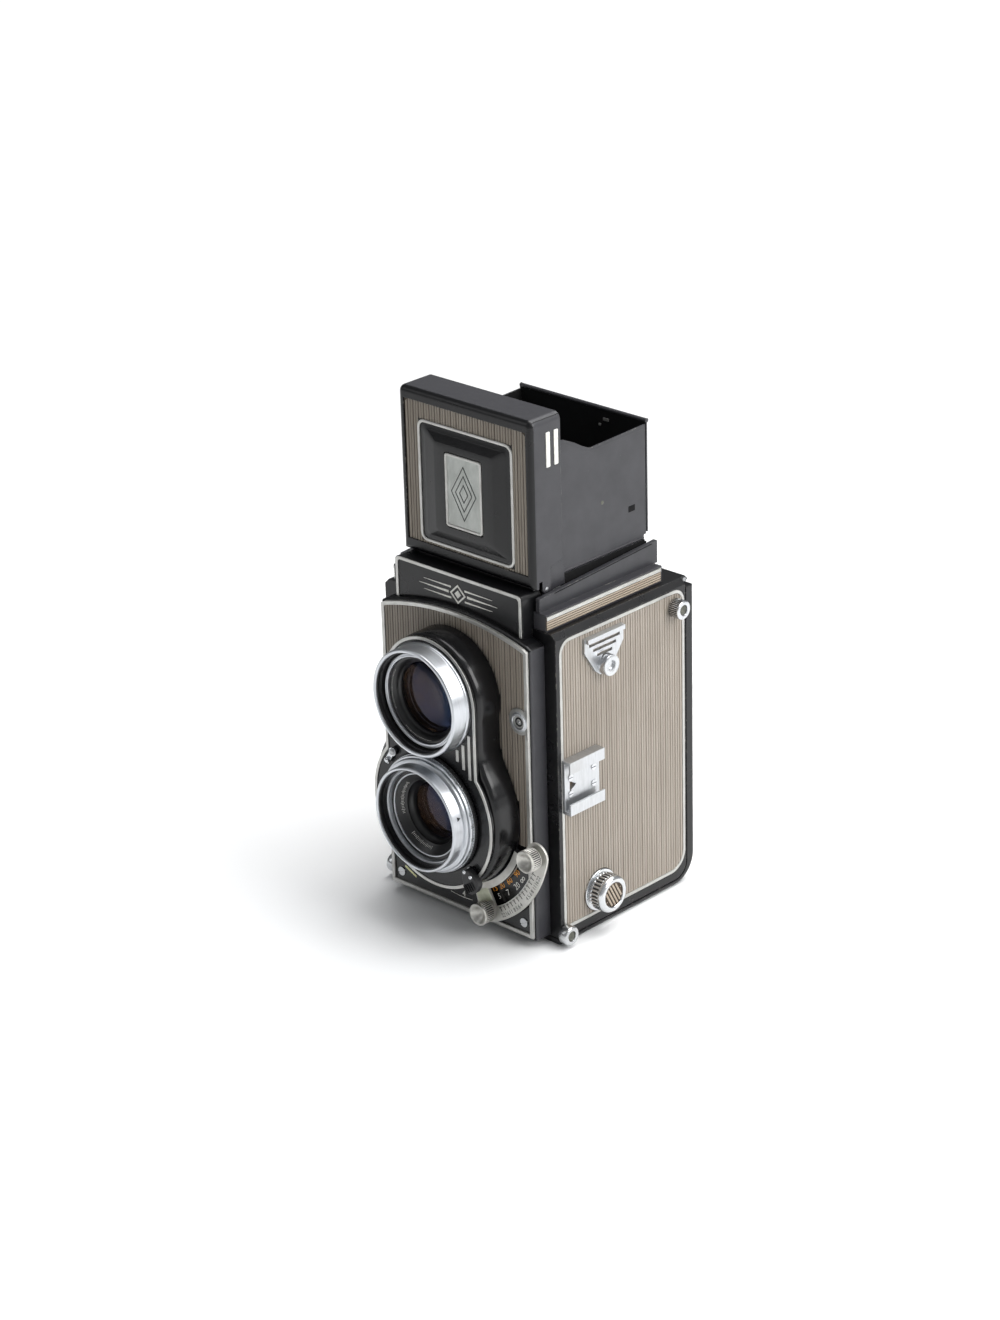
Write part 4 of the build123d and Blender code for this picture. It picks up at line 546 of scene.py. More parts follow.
def numbers(name, items, look, body, thick=0.03):
    """Thin raised text, each item (text, height, centre, facing normal, up)."""
    size_per_height = 1.42      # font size for a digit one unit high
    parts = []
    for text, height, centre, normal, up in items:
        curve = bpy.data.curves.new("number", "FONT")
        curve.body = text
        curve.size = height / 1000.0 * size_per_height
        curve.align_x = "CENTER"
        curve.align_y = "CENTER"
        curve.extrude = thick / 2000.0
        curve.resolution_u = 3
        holder = bpy.data.objects.new("number", curve)
        bpy.context.scene.collection.objects.link(holder)
        bpy.context.view_layer.update()
        depsgraph = bpy.context.evaluated_depsgraph_get()
        mesh = bpy.data.meshes.new_from_object(holder.evaluated_get(depsgraph))
        right = Vector(up).cross(Vector(normal)).normalized()
        up = Vector(up).normalized()
        turn = Matrix((right, up, right.cross(up))).transposed()
        matrix = Matrix.Translation(to_scene(*centre)) @ turn.to_4x4()
        parts.append(([matrix @ v.co for v in mesh.vertices],
                      [tuple(p.vertices) for p in mesh.polygons]))
        bpy.data.objects.remove(holder)
        bpy.data.curves.remove(curve)
        bpy.data.meshes.remove(mesh)
    make(name, *merge(parts), look, body, in_scene=True, sharp=30.0)


# ------------------------------------------------------------------ CAD nodes kept as they are
# node: (look, edge bevel)
# painted light: groove_side on the side and back coverings is a lighter copy of the covering
# colour, and groove on the front and lid coverings is a darker copy as painted shade
KEPT = {
    "body_shell": ("paint", 0.3), "mirror_frame": ("matte", 0), "mirror": ("mirror", 0),
    "ground_glass": ("screen", 0), "light_chamber": ("matte", 0),
    "film_roller_lower": ("steel", 0), "film_roller_upper": ("steel", 0),
    "supply_spool": ("plastic", 0), "takeup_spool": ("plastic", 0),
    "tripod_bush": ("steel", 0.15), "front_plate": ("paint", 0.4), "front_trim": ("trim", 0.22),
    "front_covering": ("groove", 0), "scale_panel": ("gloss", 0), "screws": ("chrome", 0.06),
    "focus_lever": ("frost", 0.1), "lens_board": ("board", 0.15),
    "board_outline": ("trim", 0.1), "shutter_housing": ("black_take", 0),
    "shutter_blades": ("knurl_black", 0), "aperture_blades": ("knurl_black", 0),
    "sync_lever": ("chrome", 0.15), "guide_rods": ("steel", 0), "nameplate": ("paint", 0.35),
    "nameplate_outline": ("trim", 0.08), "side_coverings": ("groove_side", 0),
    "side_trims": ("trim", 0.12), "accessory_shoe": ("plate", 0.12),
    "strap_lugs": ("plate", 0.12), "hood_base": ("hood", 0.25),
    "hood_strips": ("groove", 0.06), "hood_lid": ("paint", 0), "lid_covering": ("groove", 0),
    "left_flap": ("hood", 0.1), "right_flap": ("hood", 0.1), "rear_flap": ("hood", 0.1),
    "magnifier_arm": ("paint", 0.15), "magnifier_lens": ("glass_mag", 0),
    "back_cover": ("paint", 0.35), "back_hinge_pin": ("steel", 0),
    "back_covering": ("groove_side", 0), "pressure_plate": ("steel", 0.1),
    "back_latch": ("chrome", 0.15),
}
REPLACED = {
    "wind_knob", "supply_knob", "case_studs", "lens_shroud", "focus_knobs", "flash_socket",
    "viewing_barrel", "viewing_mount", "viewing_lens", "taking_barrel", "taking_mount",
    "taking_lens", "speed_ring", "aperture_ring", "release_lever", "lid_trim", "lid_badge",
}


def dress(node, look, bevel):
    """Give a CAD node its finish and, where bevel is set, clean it and round its edges."""
    ob = NODES[node]
    ob.data.materials.clear()
    ob.data.materials.append(LOOKS[look])
    for polygon in ob.data.polygons:
        polygon.material_index = 0
    if not bevel:
        return
    weld = ob.modifiers.new("weld", "WELD")
    weld.merge_threshold = 0.000002
    planar = ob.modifiers.new("planar", "DECIMATE")
    planar.decimate_type = "DISSOLVE"
    planar.angle_limit = math.radians(0.6)
    edges = ob.modifiers.new("edges", "BEVEL")
    edges.width = bevel / 1000.0
    edges.segments = 2
    edges.limit_method = "ANGLE"
    edges.angle_limit = math.radians(32.0)
    ob.modifiers.new("normals", "WEIGHTED_NORMAL").keep_sharp = True


for node in sorted(NODES):
    if node in REPLACED:
        continue
    if node in KEPT:
        dress(node, *KEPT[node])
    else:
        # small fittings outside the table
        bright = any(word in node for word in ("latch", "pin", "knob"))
        dress(node, "chrome" if bright else "steel", 0.0)


def second_finish(node, look, test):
    """A second finish on the faces whose centre (x, d, z) and normal pass the test."""
    mesh = NODES[node].data
    mesh.materials.append(LOOKS[look])
    index = len(mesh.materials) - 1
    for polygon in mesh.polygons:
        c = polygon.center
        if test(c.x * 1000, c.y * 1000 + ORIGIN_DEPTH, c.z * 1000, polygon.normal):
            polygon.material_index = index


def on_lever_band(x, d, z, n):
    return (math.hypot(x, z - TAKE_Z) < 34.45
            and math.degrees(math.atan2(z - TAKE_Z, x)) > -61.0)


def on_lid_edges(x, d, z, n):
    """Outer faces of the side walls and of the top edge, which take the lighter hood paint as
    painted light.
    """
    return d > 10.5 and ((abs(n.x) > 0.75 and abs(x) > 31.6) or (n.z > 0.75 and z > 199.0))


for node, look, test in (
        # inside of the body, then its side faces near the front, which take the lighter hood
        # paint as painted light
        ("body_shell", "matte",
         lambda x, d, z, n: abs(x) < 41.2 and 10.0 < d < 77.9 and 5.0 < z < 121.6),
        ("body_shell", "hood",
         lambda x, d, z, n: abs(n.x) > 0.5 and d < 9.9 and abs(x) > 36 and 3.0 < z < 122),
        # painted light: the side faces of the front plate take the lighter hood paint
        ("front_plate", "hood", lambda x, d, z, n: abs(n.x) > 0.4 and abs(x) > 36.5),
        # inner walls of the hood
        ("hood_base", "matte",
         lambda x, d, z, n: abs(x) < 32.7 and 13.9 < d < 69.2 and abs(n.z) < 0.5),
        ("hood_lid", "matte", lambda x, d, z, n: d > 11.3 and abs(x) < 31.5 and 140 < z < 200.0),
        # painted light: the side walls and top of the lid take the lighter hood paint, while its
        # front keeps the dark paint
        ("hood_lid", "hood", on_lid_edges),
        ("right_flap", "matte", lambda x, d, z, n: n.x < -0.5),
        ("left_flap", "matte", lambda x, d, z, n: n.x > 0.5),
        ("rear_flap", "matte", lambda x, d, z, n: n.y < -0.5 and z < 182.5),
        # top edge of the strips
        ("hood_strips", "trim", lambda x, d, z, n: z > 127.45),
        ("focus_lever", "knurl_black", on_lever_band),
        # inside of the back
        ("back_cover", "matte", lambda x, d, z, n: d < 82.0 and z > 2.25 and abs(x) < 41)):
    second_finish(node, look, test)

# ------------------------------------------------------------------ outlines of the front
SHROUD_VIEW_R, SHROUD_TAKE_R = 23.4, 31.0
OPENING_VIEW_R, OPENING_TAKE_R = 20.9, 27.9
# (height, half width) of the shroud between its two round ends
SHROUD_WAIST = ((50.0, 30.9), (57.5, 30.6), (62.3, 29.3), (66.9, 27.4), (70.9, 25.2),
                (75.0, 23.4), (78.0, 22.8), (92.0, 22.8))


def chord(z, centre, radius):
    """Half width of a circle at a height, or 0 beyond it."""
    return math.sqrt(max(radius ** 2 - (z - centre) ** 2, 0.0))


def shroud_half_width(z, grow=0.0):
    half = max(chord(z, VIEW_Z, SHROUD_VIEW_R + grow), chord(z, TAKE_Z, SHROUD_TAKE_R + grow))
    for (za, wa), (zb, wb) in zip(SHROUD_WAIST, SHROUD_WAIST[1:]):
        if za <= z <= zb:
            half = max(half, wa + (wb - wa) * (z - za) / (zb - za) + grow)
    return half


def opening_half_width(z):
    between = OPENING_VIEW_R if TAKE_Z <= z <= VIEW_Z else 0.0
    return max(chord(z, VIEW_Z, OPENING_VIEW_R), chord(z, TAKE_Z, OPENING_TAKE_R), between)


def arch_top(x):
    """Height of the top of the front covering at x."""
    inset = 1.56                # from the outer edge of the trim
    x = abs(x)
    if x >= 36.3 - inset:
        return -1e9
    radius = 117.05 - inset
    arch = 6.65 + math.sqrt(radius * radius - x * x)
    corner = 118.5 - inset * 1.12 - (x - 34.5) * 0.5556
    return min(arch, corner) if x > 33.0 else arch


# ------------------------------------------------------------------ ribbed coverings
RIB_PAIR, RIB_WIDTH = 2.67, 1.02    # pitch of the pairs, width of one rib
RIB_OFFSET = 0.615                  # rib centre from the centre of its pair
RIB_STEP = 0.25                     # sampling step along a rib
RIB_SHORTEST = 0.6
# section of a rib: (across, in widths; height, in full heights)
RIB_SHAPE = ((-0.5, 0.0), (-0.47, 0.55), (-0.38, 0.9), (-0.2, 1.0), (0.2, 1.0), (0.38, 0.9),
             (0.47, 0.55), (0.5, 0.0))


def rib_spans(across, low, high, inside):
    """The stretches from low to high where inside holds, ends refined by halving."""
    spans, start, before = [], None, False
    along = low
    while along <= high + 1e-9:
        now = inside(across, along)
        if now != before:
            a, b = along - RIB_STEP, along
            for _ in range(7):
                middle = (a + b) / 2
                if inside(across, middle) == now:
                    b = middle
                else:
                    a = middle
            if now:
                start = max(low, b)
            else:
                spans.append((start, a))
        before = now
        along += RIB_STEP
    if before:
        spans.append((start, high))
    return spans


def ribs(name, axis, across, along, inside, base, top, look, body):
    """Moulded upright ribs in pairs, cut off where inside(across, height) is false."""
    low, high = across
    reach = int((high - low) / RIB_PAIR) + 2
    centres = [(low + high) / 2 + k * RIB_PAIR + side * RIB_OFFSET
               for k in range(-reach, reach + 1) for side in (-1, 1)]
    parts = []
    for c in centres:
        if not (c - RIB_WIDTH / 2 > low and c + RIB_WIDTH / 2 < high):
            continue
        main = rib_spans(c, *along, inside)
        lines = [rib_spans(c + f * RIB_WIDTH * 0.98, *along, inside) for f, _ in RIB_SHAPE]
        for k, span in enumerate(main):
            if span[1] - span[0] < RIB_SHORTEST:
                continue
            ends = [line[k] if len(line) == len(main) else span for line in lines]
            parts.append(loft([[place((c + f * RIB_WIDTH, end[which]), base + (top - base) * h,
                                      axis) for (f, h), end in zip(RIB_SHAPE, ends)]
                               for which in (0, 1)]))
    make(name, *merge(parts), look, body, sharp=50.0, slot="ribbed_covering")


def side_inside(side):
    """Test for the covering on one side of the body."""
    front, back, low, high = 11.82, 76.2, 7.32, 118.88
    corners = ((front, low, 1.1), (back, low, 6.6), (back, high, 4.1), (front, high, 4.1))
    holes = [(*SUPPLY_KNOB, 8.3) if side > 0 else (*WIND_KNOB, 3.4), (*UPPER_STUD, 2.15)]

    def inside(d, z):
        if not (front < d < back and low < z < high):
            return False
        for corner_d, corner_z, r in corners:
            cd = corner_d + r if corner_d == front else corner_d - r
            cz = corner_z + r if corner_z == low else corner_z - r
            in_corner = (d < cd) == (corner_d == front) and (z < cz) == (corner_z == low)
            if in_corner and math.hypot(d - cd, z - cz) > r:
                return False
        # rectangle left bare near the front on the right
        if side > 0 and 10 < d < 28.95 and 53.05 < z < 74.15:
            return False
        return all(math.hypot(d - hd, z - hz) > r for hd, hz, r in holes)

    return inside


def front_inside(x, z):
    if z < 40.55 or z > arch_top(x):
        return False
    if abs(x) < shroud_half_width(z, -1.2) or math.hypot(x, z - TAKE_Z) < 31.3:
        return False
    return math.hypot(x - FLASH_SOCKET[0], z - FLASH_SOCKET[1]) > 5.22


def lid_inside(x, z):
    half, low, high, radius, square = 29.7, 142.1, 195.5, 3.0, 23.2
    cx, cz = half - radius, high - radius
    x = abs(x)
    if not (x < half and low < z < high):
        return False
    if x > cx and z > cz and math.hypot(x - cx, z - cz) > radius:
        return False
    return x > square or abs(z - LID_Z) > square


def back_inside(x, z):
    return abs(x) < 38.4 and 13.2 < z < 116.4


# painted light: side and back ribs take the lighter rib copy, and front and lid ribs take the
# darker rib_front copy as painted shade
for side, word in SIDES:
    ribs("covering_ribs_" + word, "x", (11.75, 76.25), (7.3, 118.9), side_inside(side),
         side * 42.28, side * 42.50, "rib", "body")
ribs("covering_ribs_front", "y", (-34.85, 34.85), (40.5, 123.0), front_inside, 0.52, 0.32,
     "rib_front", "body")
ribs("covering_ribs_lid", "y", (-29.9, 29.9), (142.0, 195.6), lid_inside, 9.62, 9.36,
     "rib_front", "lid")
ribs("covering_ribs_back", "y", (-38.6, 38.6), (13.1, 116.5), back_inside, 82.88, 83.1,
     "rib", "back")
for side, word in SIDES:
    strip = bars("hood_strip_ribs_" + word,
                 [((side * 38.06, 39.4, z), (0, 30.25, 0), (0, 0, 0.31), (side * 0.12, 0, 0))
                  for z in (124.12, 125.02, 125.92, 126.82)],
                 "rib_strip", "body", slot="ribbed_covering")
    round_edges(strip, 0.08)

# ------------------------------------------------------------------ shroud round the lens board
# (depth, inset from the outline), from the back edge to the front
SHROUD_LEVELS = ((1.15, 1.6), (-0.38, 1.6), (-0.42, 0.0), (-8.9, 0.12), (-9.9, 0.28),
                 (-10.6, 0.58), (-11.1, 1.0), (-11.4, 1.5), (-11.5, 2.05))


def outline_of(half_width, low, high):
    """Outline from a half-width function, up the right and down the left."""
    count, end_gap = 150, 0.0004
    heights = [low + (high - low) * (1 - math.cos(math.pi * (i + 0.5) / count)) / 2
               for i in range(count)]
    heights = [low + end_gap] + heights + [high - end_gap]
    right = [(half_width(z), z) for z in heights]
    return right + [(-x, z) for x, z in reversed(right)]


def smooth_inset(outline, inset):
    """A smooth outline moved inward, square to the line between each point's neighbours."""
    out = []
    for i, point in enumerate(outline):
        before, here = Vector(outline[i - 1]), Vector(point)
        along = (Vector(outline[(i + 1) % len(outline)]) - before).normalized()
        out.append((here.x - along.y * inset, here.y + along.x * inset))
    return out


outer = outline_of(shroud_half_width, TAKE_Z - SHROUD_TAKE_R, VIEW_Z + SHROUD_VIEW_R)
opening = outline_of(opening_half_width, TAKE_Z - OPENING_TAKE_R, VIEW_Z + OPENING_VIEW_R)
rings = [[place(p, d) for p in smooth_inset(outer, inset)] for d, inset in SHROUD_LEVELS]
rings += [[place(p, d) for p in opening] for d in (SHROUD_LEVELS[-1][0], SHROUD_LEVELS[0][0])]
make("shroud_shell", *loft(rings, wrap=True), "board", "body", slot="black_paint", sharp=24.0,
     replaces="lens_shroud")
lathe("cable_release_nipple", "x", (-6.8, 79.0), "chrome", "body",
      [(1.5, -22.4), (1.5, -28.6), (2.0, -28.7), (2.3, -29.0, 0.25), (2.3, -30.8, 0.25),
       (2.05, -31.2), (1.1, -31.2), (0.9, -30.9), (0.9, -28.4), (0.0, -28.3)],
      teeth=20, slot="chrome")


# ------------------------------------------------------------------ viewing lens
def lens_part(name, z, look, slot, seg, profile, **placing):
    """A piece turned about a lens axis."""
    lathe(name, "y", (0, z), look, "front_standard", profile, seg=seg, slot=slot, **placing)


lens_part("viewing_barrel_shell", VIEW_Z, "chrome_view", "chrome", 160,
          [(20.95, -12.86), (20.95, -14.1), (20.85, -14.3), (20.62, -14.5), (20.55, -14.75),
           (20.55, -20.3), (20.47, -20.62), (20.25, -20.86), (19.95, -20.98), (19.5, -21.0),
           (19.2, -20.9), (19.03, -20.7), (19.0, -20.4), (19.0, -12.86)],
          replaces="viewing_barrel")
lens_part("viewing_barrel_lining", VIEW_Z, "black_view", "black_matte", 128,
          [(19.02, -20.36), (18.8, -20.3), (18.62, -20.0), (18.6, -19.2), (18.8, -19.1),
           (18.8, -18.5), (18.6, -18.4), (18.6, -17.12), (19.02, -17.1)])
lens_part("viewing_mount_cone", VIEW_Z, "black_view", "black_matte", 128,
          [(18.88, -12.95), (18.88, -16.9), (17.95, -16.96), (17.9, -16.35), (16.4, -16.2),
           (15.75, -16.15), (15.3, -15.9), (14.9, -15.2), (14.35, -14.6), (14.3, -14.2),
           (13.9, -13.8), (13.5, -13.3), (13.42, -13.0), (13.42, 2.95), (17.38, 2.95),
           (17.38, -12.95)], replaces="viewing_mount")
lens_part("viewing_mount_ring", VIEW_Z, "chrome_view", "chrome", 144,
          [(17.92, -16.4), (17.92, -17.2), (17.8, -17.4), (17.4, -17.44), (17.25, -17.3),
           (17.1, -17.3), (16.95, -17.44), (16.6, -17.4), (16.42, -17.15), (16.36, -16.4)])


def lens(name, z, radius, elements, look):
    """Glass elements, each (front vertex depth, front sag, back vertex depth, back sag)."""
    steps = 16
    for k, (front, front_sag, back, back_sag) in enumerate(elements):
        profile = []
        for vertex, sag, way, order in ((front, front_sag, 1, range(steps + 1)),
                                        (back, back_sag, -1, range(steps, -1, -1))):
            curve = (radius * radius + sag * sag) / (2 * sag)
            for i in order:
                r = radius * math.sin(math.pi / 2 * i / steps)
                profile.append((r, vertex + way * (curve - math.sqrt(curve * curve - r * r))))
        lathe("%s_element_%d" % (name, k + 1), "y", (0, z), look, "front_standard",
                          profile, seg=96, slot="lens_glass", sharp=50)
    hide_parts(name)


lens("viewing_lens", VIEW_Z, 13.3, [(-14.9, 2.2, -9.2, 0.5), (-1.2, 0.4, 2.4, 1.2)],
     "glass_view")
lens("taking_lens", TAKE_Z, 10.7, [(-11.9, 1.5, -8.6, 0.4), (-2.1, 0.3, 2.2, 1.2)],
     "glass_take")
lens_part("viewing_lens_stop", VIEW_Z, "stop", "black_matte", 96,
          [(13.38, -6.4), (13.38, -5.9), (0, -5.2), (0, -5.9), (6.0, -6.2), (12.4, -6.6)])


def cone_marks(name, z, outer, inner, groups):
    """Fine marks on a cone between two (radius, depth) edges.

    groups rows are (start angle, count, step in degrees); every fourth mark is longer.
    """
    proud, half_width, half_thick = 0.015, 0.07, 0.02
    items = []
    for start, count, step in groups:
        for i in range(count):
            angle = start + i * step
            cos, _, sin = spoke(angle)
            t0, t1 = (0.3, 0.7) if i % 4 else (0.18, 0.82)
            ra, rb = (outer[0] + (inner[0] - outer[0]) * t for t in (t0, t1))
            da, db = (outer[1] + (inner[1] - outer[1]) * t for t in (t0, t1))
            half = (rb - ra) / 2
            items.append((place(polar((ra + rb) / 2, angle, z), (da + db) / 2 - proud),
                          (half * cos, (db - da) / 2, half * sin),
                          (-half_width * sin, 0, half_width * cos), (0, half_thick, 0)))
    bars(name, items, "ink_white", "front_standard")


cone_marks("viewing_mount_marks", VIEW_Z, (15.7, -16.12), (15.3, -15.88),
           [(150, 25, 2.4), (235, 21, 2.4)])
cone_marks("taking_mount_marks", TAKE_Z, (14.6, -15.45), (13.2, -13.8),
           [(140, 23, 2.6), (230, 17, 2.6), (20, 9, 2.6)])

# ------------------------------------------------------------------ taking lens and its rings
lens_part("taking_barrel_shell", TAKE_Z, "chrome_take", "chrome", 160,
          [(21.8, -16.5), (21.8, -17.25), (21.68, -17.5), (21.4, -17.68), (20.5, -17.72),
           (20.28, -17.8), (20.2, -18.0), (20.2, -21.9), (20.12, -22.18), (19.9, -22.4),
           (19.6, -22.5), (19.3, -22.48), (19.05, -22.32), (18.93, -22.05), (18.9, -21.8),
           (18.9, -16.5)], replaces="taking_barrel")
lens_part("taking_barrel_lining", TAKE_Z, "black_take", "black_matte", 128,
          [(18.92, -21.85), (18.7, -21.75), (18.52, -21.4), (18.5, -20.4), (18.72, -20.3),
           (18.72, -19.7), (18.5, -19.6), (18.5, -18.2), (18.92, -18.18)])
lens_part("taking_mount_ring", TAKE_Z, "chrome_take", "chrome", 144,
          [(18.82, -16.55), (18.82, -17.95), (18.65, -18.12), (18.25, -18.12),
           (18.12, -17.98), (17.98, -17.98), (17.85, -18.12), (17.7, -18.08), (17.58, -17.9),
           (17.45, -16.95), (17.3, -16.55)], replaces="taking_mount")
lens_part("taking_mount_cone", TAKE_Z, "black_take", "black_matte", 128,
          [(17.4, -16.75), (16.15, -16.78), (15.55, -16.5), (14.7, -15.5), (14.6, -15.45),
           (13.2, -13.8), (12.6, -13.5), (12.5, -12.9), (11.6, -12.0), (10.86, -11.0),
           (10.86, -8.45), (15.35, -8.45), (15.35, -15.95), (15.6, -16.46), (17.3, -16.46)])
lens_part("taking_mount_bezel", TAKE_Z, "chrome_take", "chrome", 128,
          [(16.2, -16.7), (16.15, -16.95), (16.0, -17.04), (15.75, -17.0), (15.6, -16.8),
           (15.6, -16.5)])
lathe("speed_ring_band", "y", (0, TAKE_Z), "chrome_take", "speeds",
      [(19.42, -14.64), (22.4, -14.64), (22.52, -14.75), (22.52, -16.0), (22.35, -16.28),
       (22.0, -16.38), (19.42, -16.38)], seg=160, slot="chrome", replaces="speed_ring")
lathe("speed_ring_grip", "y", (0, TAKE_Z), "chrome_take", "speeds",
      [(22.5, -14.66), (22.75, -14.66), (22.78, -14.8, 0.2), (22.78, -15.02, 0.2),
       (22.5, -15.06)], teeth=120, slot="chrome")
# (speed, angle) round the rim of the speed ring
SPEEDS = (("1", 48), ("2", 38), ("5", 28), ("10", 17), ("25", 5), ("50", -8), ("100", -21),
          ("250", -36), ("500", -51))
numbers("speed_numbers",
        [(text, 1.05, place(polar(22.53, angle), -15.62), spoke(angle), (0, 1, 0))
         for text, angle in SPEEDS], "ink_black", "speeds")
lathe("aperture_ring_knurled", "y", (0, TAKE_Z), "knurl_black", "apertures",
      [(19.45, -13.04), (22.9, -13.04), (23.28, -13.16, 0.32), (23.28, -14.2, 0.32),
       (23.0, -14.46), (19.45, -14.48)], teeth=150, slot="black_matte",
      replaces="aperture_ring")
# triangular index on the barrel: (depth, offset round the barrel) of its corners
INDEX_ANGLE, BARREL_RADIUS = 16, 20.2
INDEX_CORNERS = ((-18.35, 0), (-20.0, 0.85), (-20.0, -0.85))
make("barrel_index_mark",
     *loft([[place(polar(radius, INDEX_ANGLE + math.degrees(offset / BARREL_RADIUS)), d)
             for d, offset in INDEX_CORNERS] for radius in (20.26, 20.15)]),
     "ink_black", "front_standard")

# ------------------------------------------------------------------ levers on the board
RELEASE_OUTLINE = [(16.6, 30.6), (17.6, 32.2), (18.9, 33.0), (20.6, 32.3), (24.3, 29.4),
                   (24.6, 28.0), (24.0, 26.2), (22.9, 24.5), (21.2, 23.4), (19.4, 23.4),
                   (17.9, 24.2), (17.0, 26.4), (16.5, 28.6)]
RELEASE_PIVOT = (18.0, 31.6)
slab("release_lever_body", RELEASE_OUTLINE, "y", -13.3, -15.9, "knurl_black", "release",
     bevel=0.55, slot="black_matte", replaces="release_lever")
grip = bars("release_lever_grip",
            [((18.6 + 3.9 * i / 4, -16.05, 24.9 + 2.6 * i / 4),
              (0.28, 0, -0.22), (-0.85, 0, 1.15), (0, 0.32, 0)) for i in range(5)],
            "knurl_black", "release", slot="black_matte")
round_edges(grip, 0.12)
for k, centre in enumerate((RELEASE_PIVOT, (21.0, 30.4))):
    lathe("release_lever_rivet_%d" % (k + 1), "y", centre, "chrome", "release",
          [(0, -15.6), (0.75, -15.6), (0.75, -16.1), (0.6, -16.3), (0.3, -16.42), (0, -16.44)],
          seg=32, slot="chrome")
lathe("release_lever_pivot", "y", RELEASE_PIVOT, "steel", "release",
      [(0, -12.9), (1.0, -12.9), (1.0, -13.4), (0, -13.4)], seg=24)
lathe("sync_lever_tip", "y", (-20.9, 64.2), "chrome", "sync",
      [(0, -14.2), (0.95, -14.3), (1.1, -14.8), (0.95, -15.4), (0.5, -15.7), (0, -15.8)],
      seg=32, slot="chrome")
lathe("sync_lever_screw", "y", (-18.6, 67.9), "steel", "sync",
      [(0, -14.3), (1.2, -14.35), (1.25, -14.7), (1.0, -14.9), (0, -14.95)],
      seg=32, slot="steel")

# ------------------------------------------------------------------ focusing knobs and scales
SCALE_ANGLE = -40.7             # middle of the depth-of-field scale
SCALE_D = -2.03                 # depth of its marks
PANEL_D = 0.68                  # depth of the distance scale
STOPS = ("22", "16", "11", "8", "5.6", "4", "", "4", "5.6", "8", "11", "16", "22")
STOP_STEP = 2.95                # degrees between stops

for k, angle in enumerate((-12.4, -66.5)):
    lathe("focus_knob_%d" % (k + 1), "y", polar(41.9, angle), "knob_frost", "focus_ring",
          [(0, -1.98), (2.6, -1.98), (2.6, -3.15), (3.6, -3.2), (3.95, -3.4),
           (4.2, -3.6, 0.42), (4.2, -7.1, 0.42), (3.95, -7.3), (4.05, -7.5), (4.28, -7.8),
           (4.28, -8.15), (4.1, -8.42), (3.8, -8.5), (3.5, -8.42), (3.2, -8.1), (2.5, -7.1),
           (1.7, -6.3), (0.9, -5.95), (0.75, -5.9), (0.7, -6.1), (0, -6.15)],
          teeth=32, slot="satin_chrome", replaces="focus_knobs")


def radial_mark(radius, angle, half_length, half_width):
    cos, _, sin = spoke(angle)
    return (place(polar(radius, angle), SCALE_D), (cos * half_length, 0, sin * half_length),
            (-sin * half_width, 0, cos * half_width), (0, 0.02, 0))


def dial_numbers(rows, radius_x, radius_z, d):
    """Numbers facing forward, tops toward the taking axis, from (text, height, angle)."""
    items = []
    for text, height, angle in rows:
        cos, _, sin = spoke(angle)
        items.append((text, height, (radius_x * cos, d, TAKE_Z + radius_z * sin),
                      (0, -1, 0), (-cos, 0, -sin)))
    return items


marks, stop_rows = [], []
for i, text in enumerate(STOPS):
    angle = SCALE_ANGLE + (i - 6) * STOP_STEP
    if text:
        marks.append(radial_mark(42.9, angle, half_length=0.95, half_width=0.17))
        stop_rows.append((text, 1.55, angle))
    else:
        marks.append(radial_mark(42.8, angle, half_length=1.25, half_width=0.17))
marks += [radial_mark(42.25, SCALE_ANGLE + (i - 12.5) * STOP_STEP / 2,
                      half_length=0.35, half_width=0.10) for i in range(26)]
bars("depth_scale_marks", marks, "ink_black", "focus_ring")
numbers("depth_scale_numbers", dial_numbers(stop_rows, 45.35, 45.35, -2.02), "ink_black",
        "focus_ring")
pad = [polar(33.9, -73.0 + i * 1.1) for i in range(11)]
pad += [polar(38.7, -62.0 - i * 1.1) for i in range(11)]
slab("lever_index_pad", pad, "y", -1.95, -2.12, "pad", "focus_ring", bevel=0.05, segs=2)

# (text, height, angle)
WHITE_DISTANCES = (("7", 2.3, -51.9), ("20", 2.3, -42.8), ("∞", 2.6, -36.0), ("5", 2.2, -60.0),
                   ("4", 2.3, -88.6))
ORANGE_DISTANCES = (("20", 2.25, -54.4), ("60", 2.25, -46.1), ("90", 2.25, -36.7),
                    ("15", 2.25, -61.5))
numbers("distance_numbers_white", dial_numbers(WHITE_DISTANCES, 38.6, 38.6, PANEL_D),
        "ink_white", "body", thick=0.05)
numbers("distance_numbers_orange", dial_numbers(ORANGE_DISTANCES, 35.45, 35.3, PANEL_D),
        "ink_orange", "body", thick=0.04)
arc = []
for i in range(16):
    cos, _, sin = spoke(-98 + i * 1.0)
    arc.append(((40.1 * cos, PANEL_D, TAKE_Z + 40.1 * sin), (-sin * 0.36, 0, cos * 0.36),
                (cos * 0.09, 0, sin * 0.09), (0, 0.025, 0)))
bars("distance_arc_line", arc, "ink_white", "body")
bars("focus_index_line",
     [((-26.85, 0.66, 10.6), Vector((5.9, 0, -2.8)) / 2,
       Vector((2.8, 0, 5.9)).normalized() * 0.42, (0, 0.03, 0))], "ink_yellow", "body")

# ------------------------------------------------------------------ flash socket
lathe("flash_socket_collar", "y", FLASH_SOCKET, "plate", "body",
      [(3.82, 1.1), (3.82, -0.16), (3.74, -0.26), (3.36, -0.28), (3.3, -0.4), (3.28, -0.7),
       (3.14, -0.84), (2.78, -0.84), (2.62, -0.7), (2.57, -0.3), (2.57, 1.1)],
      seg=72, slot="chrome", replaces="flash_socket")
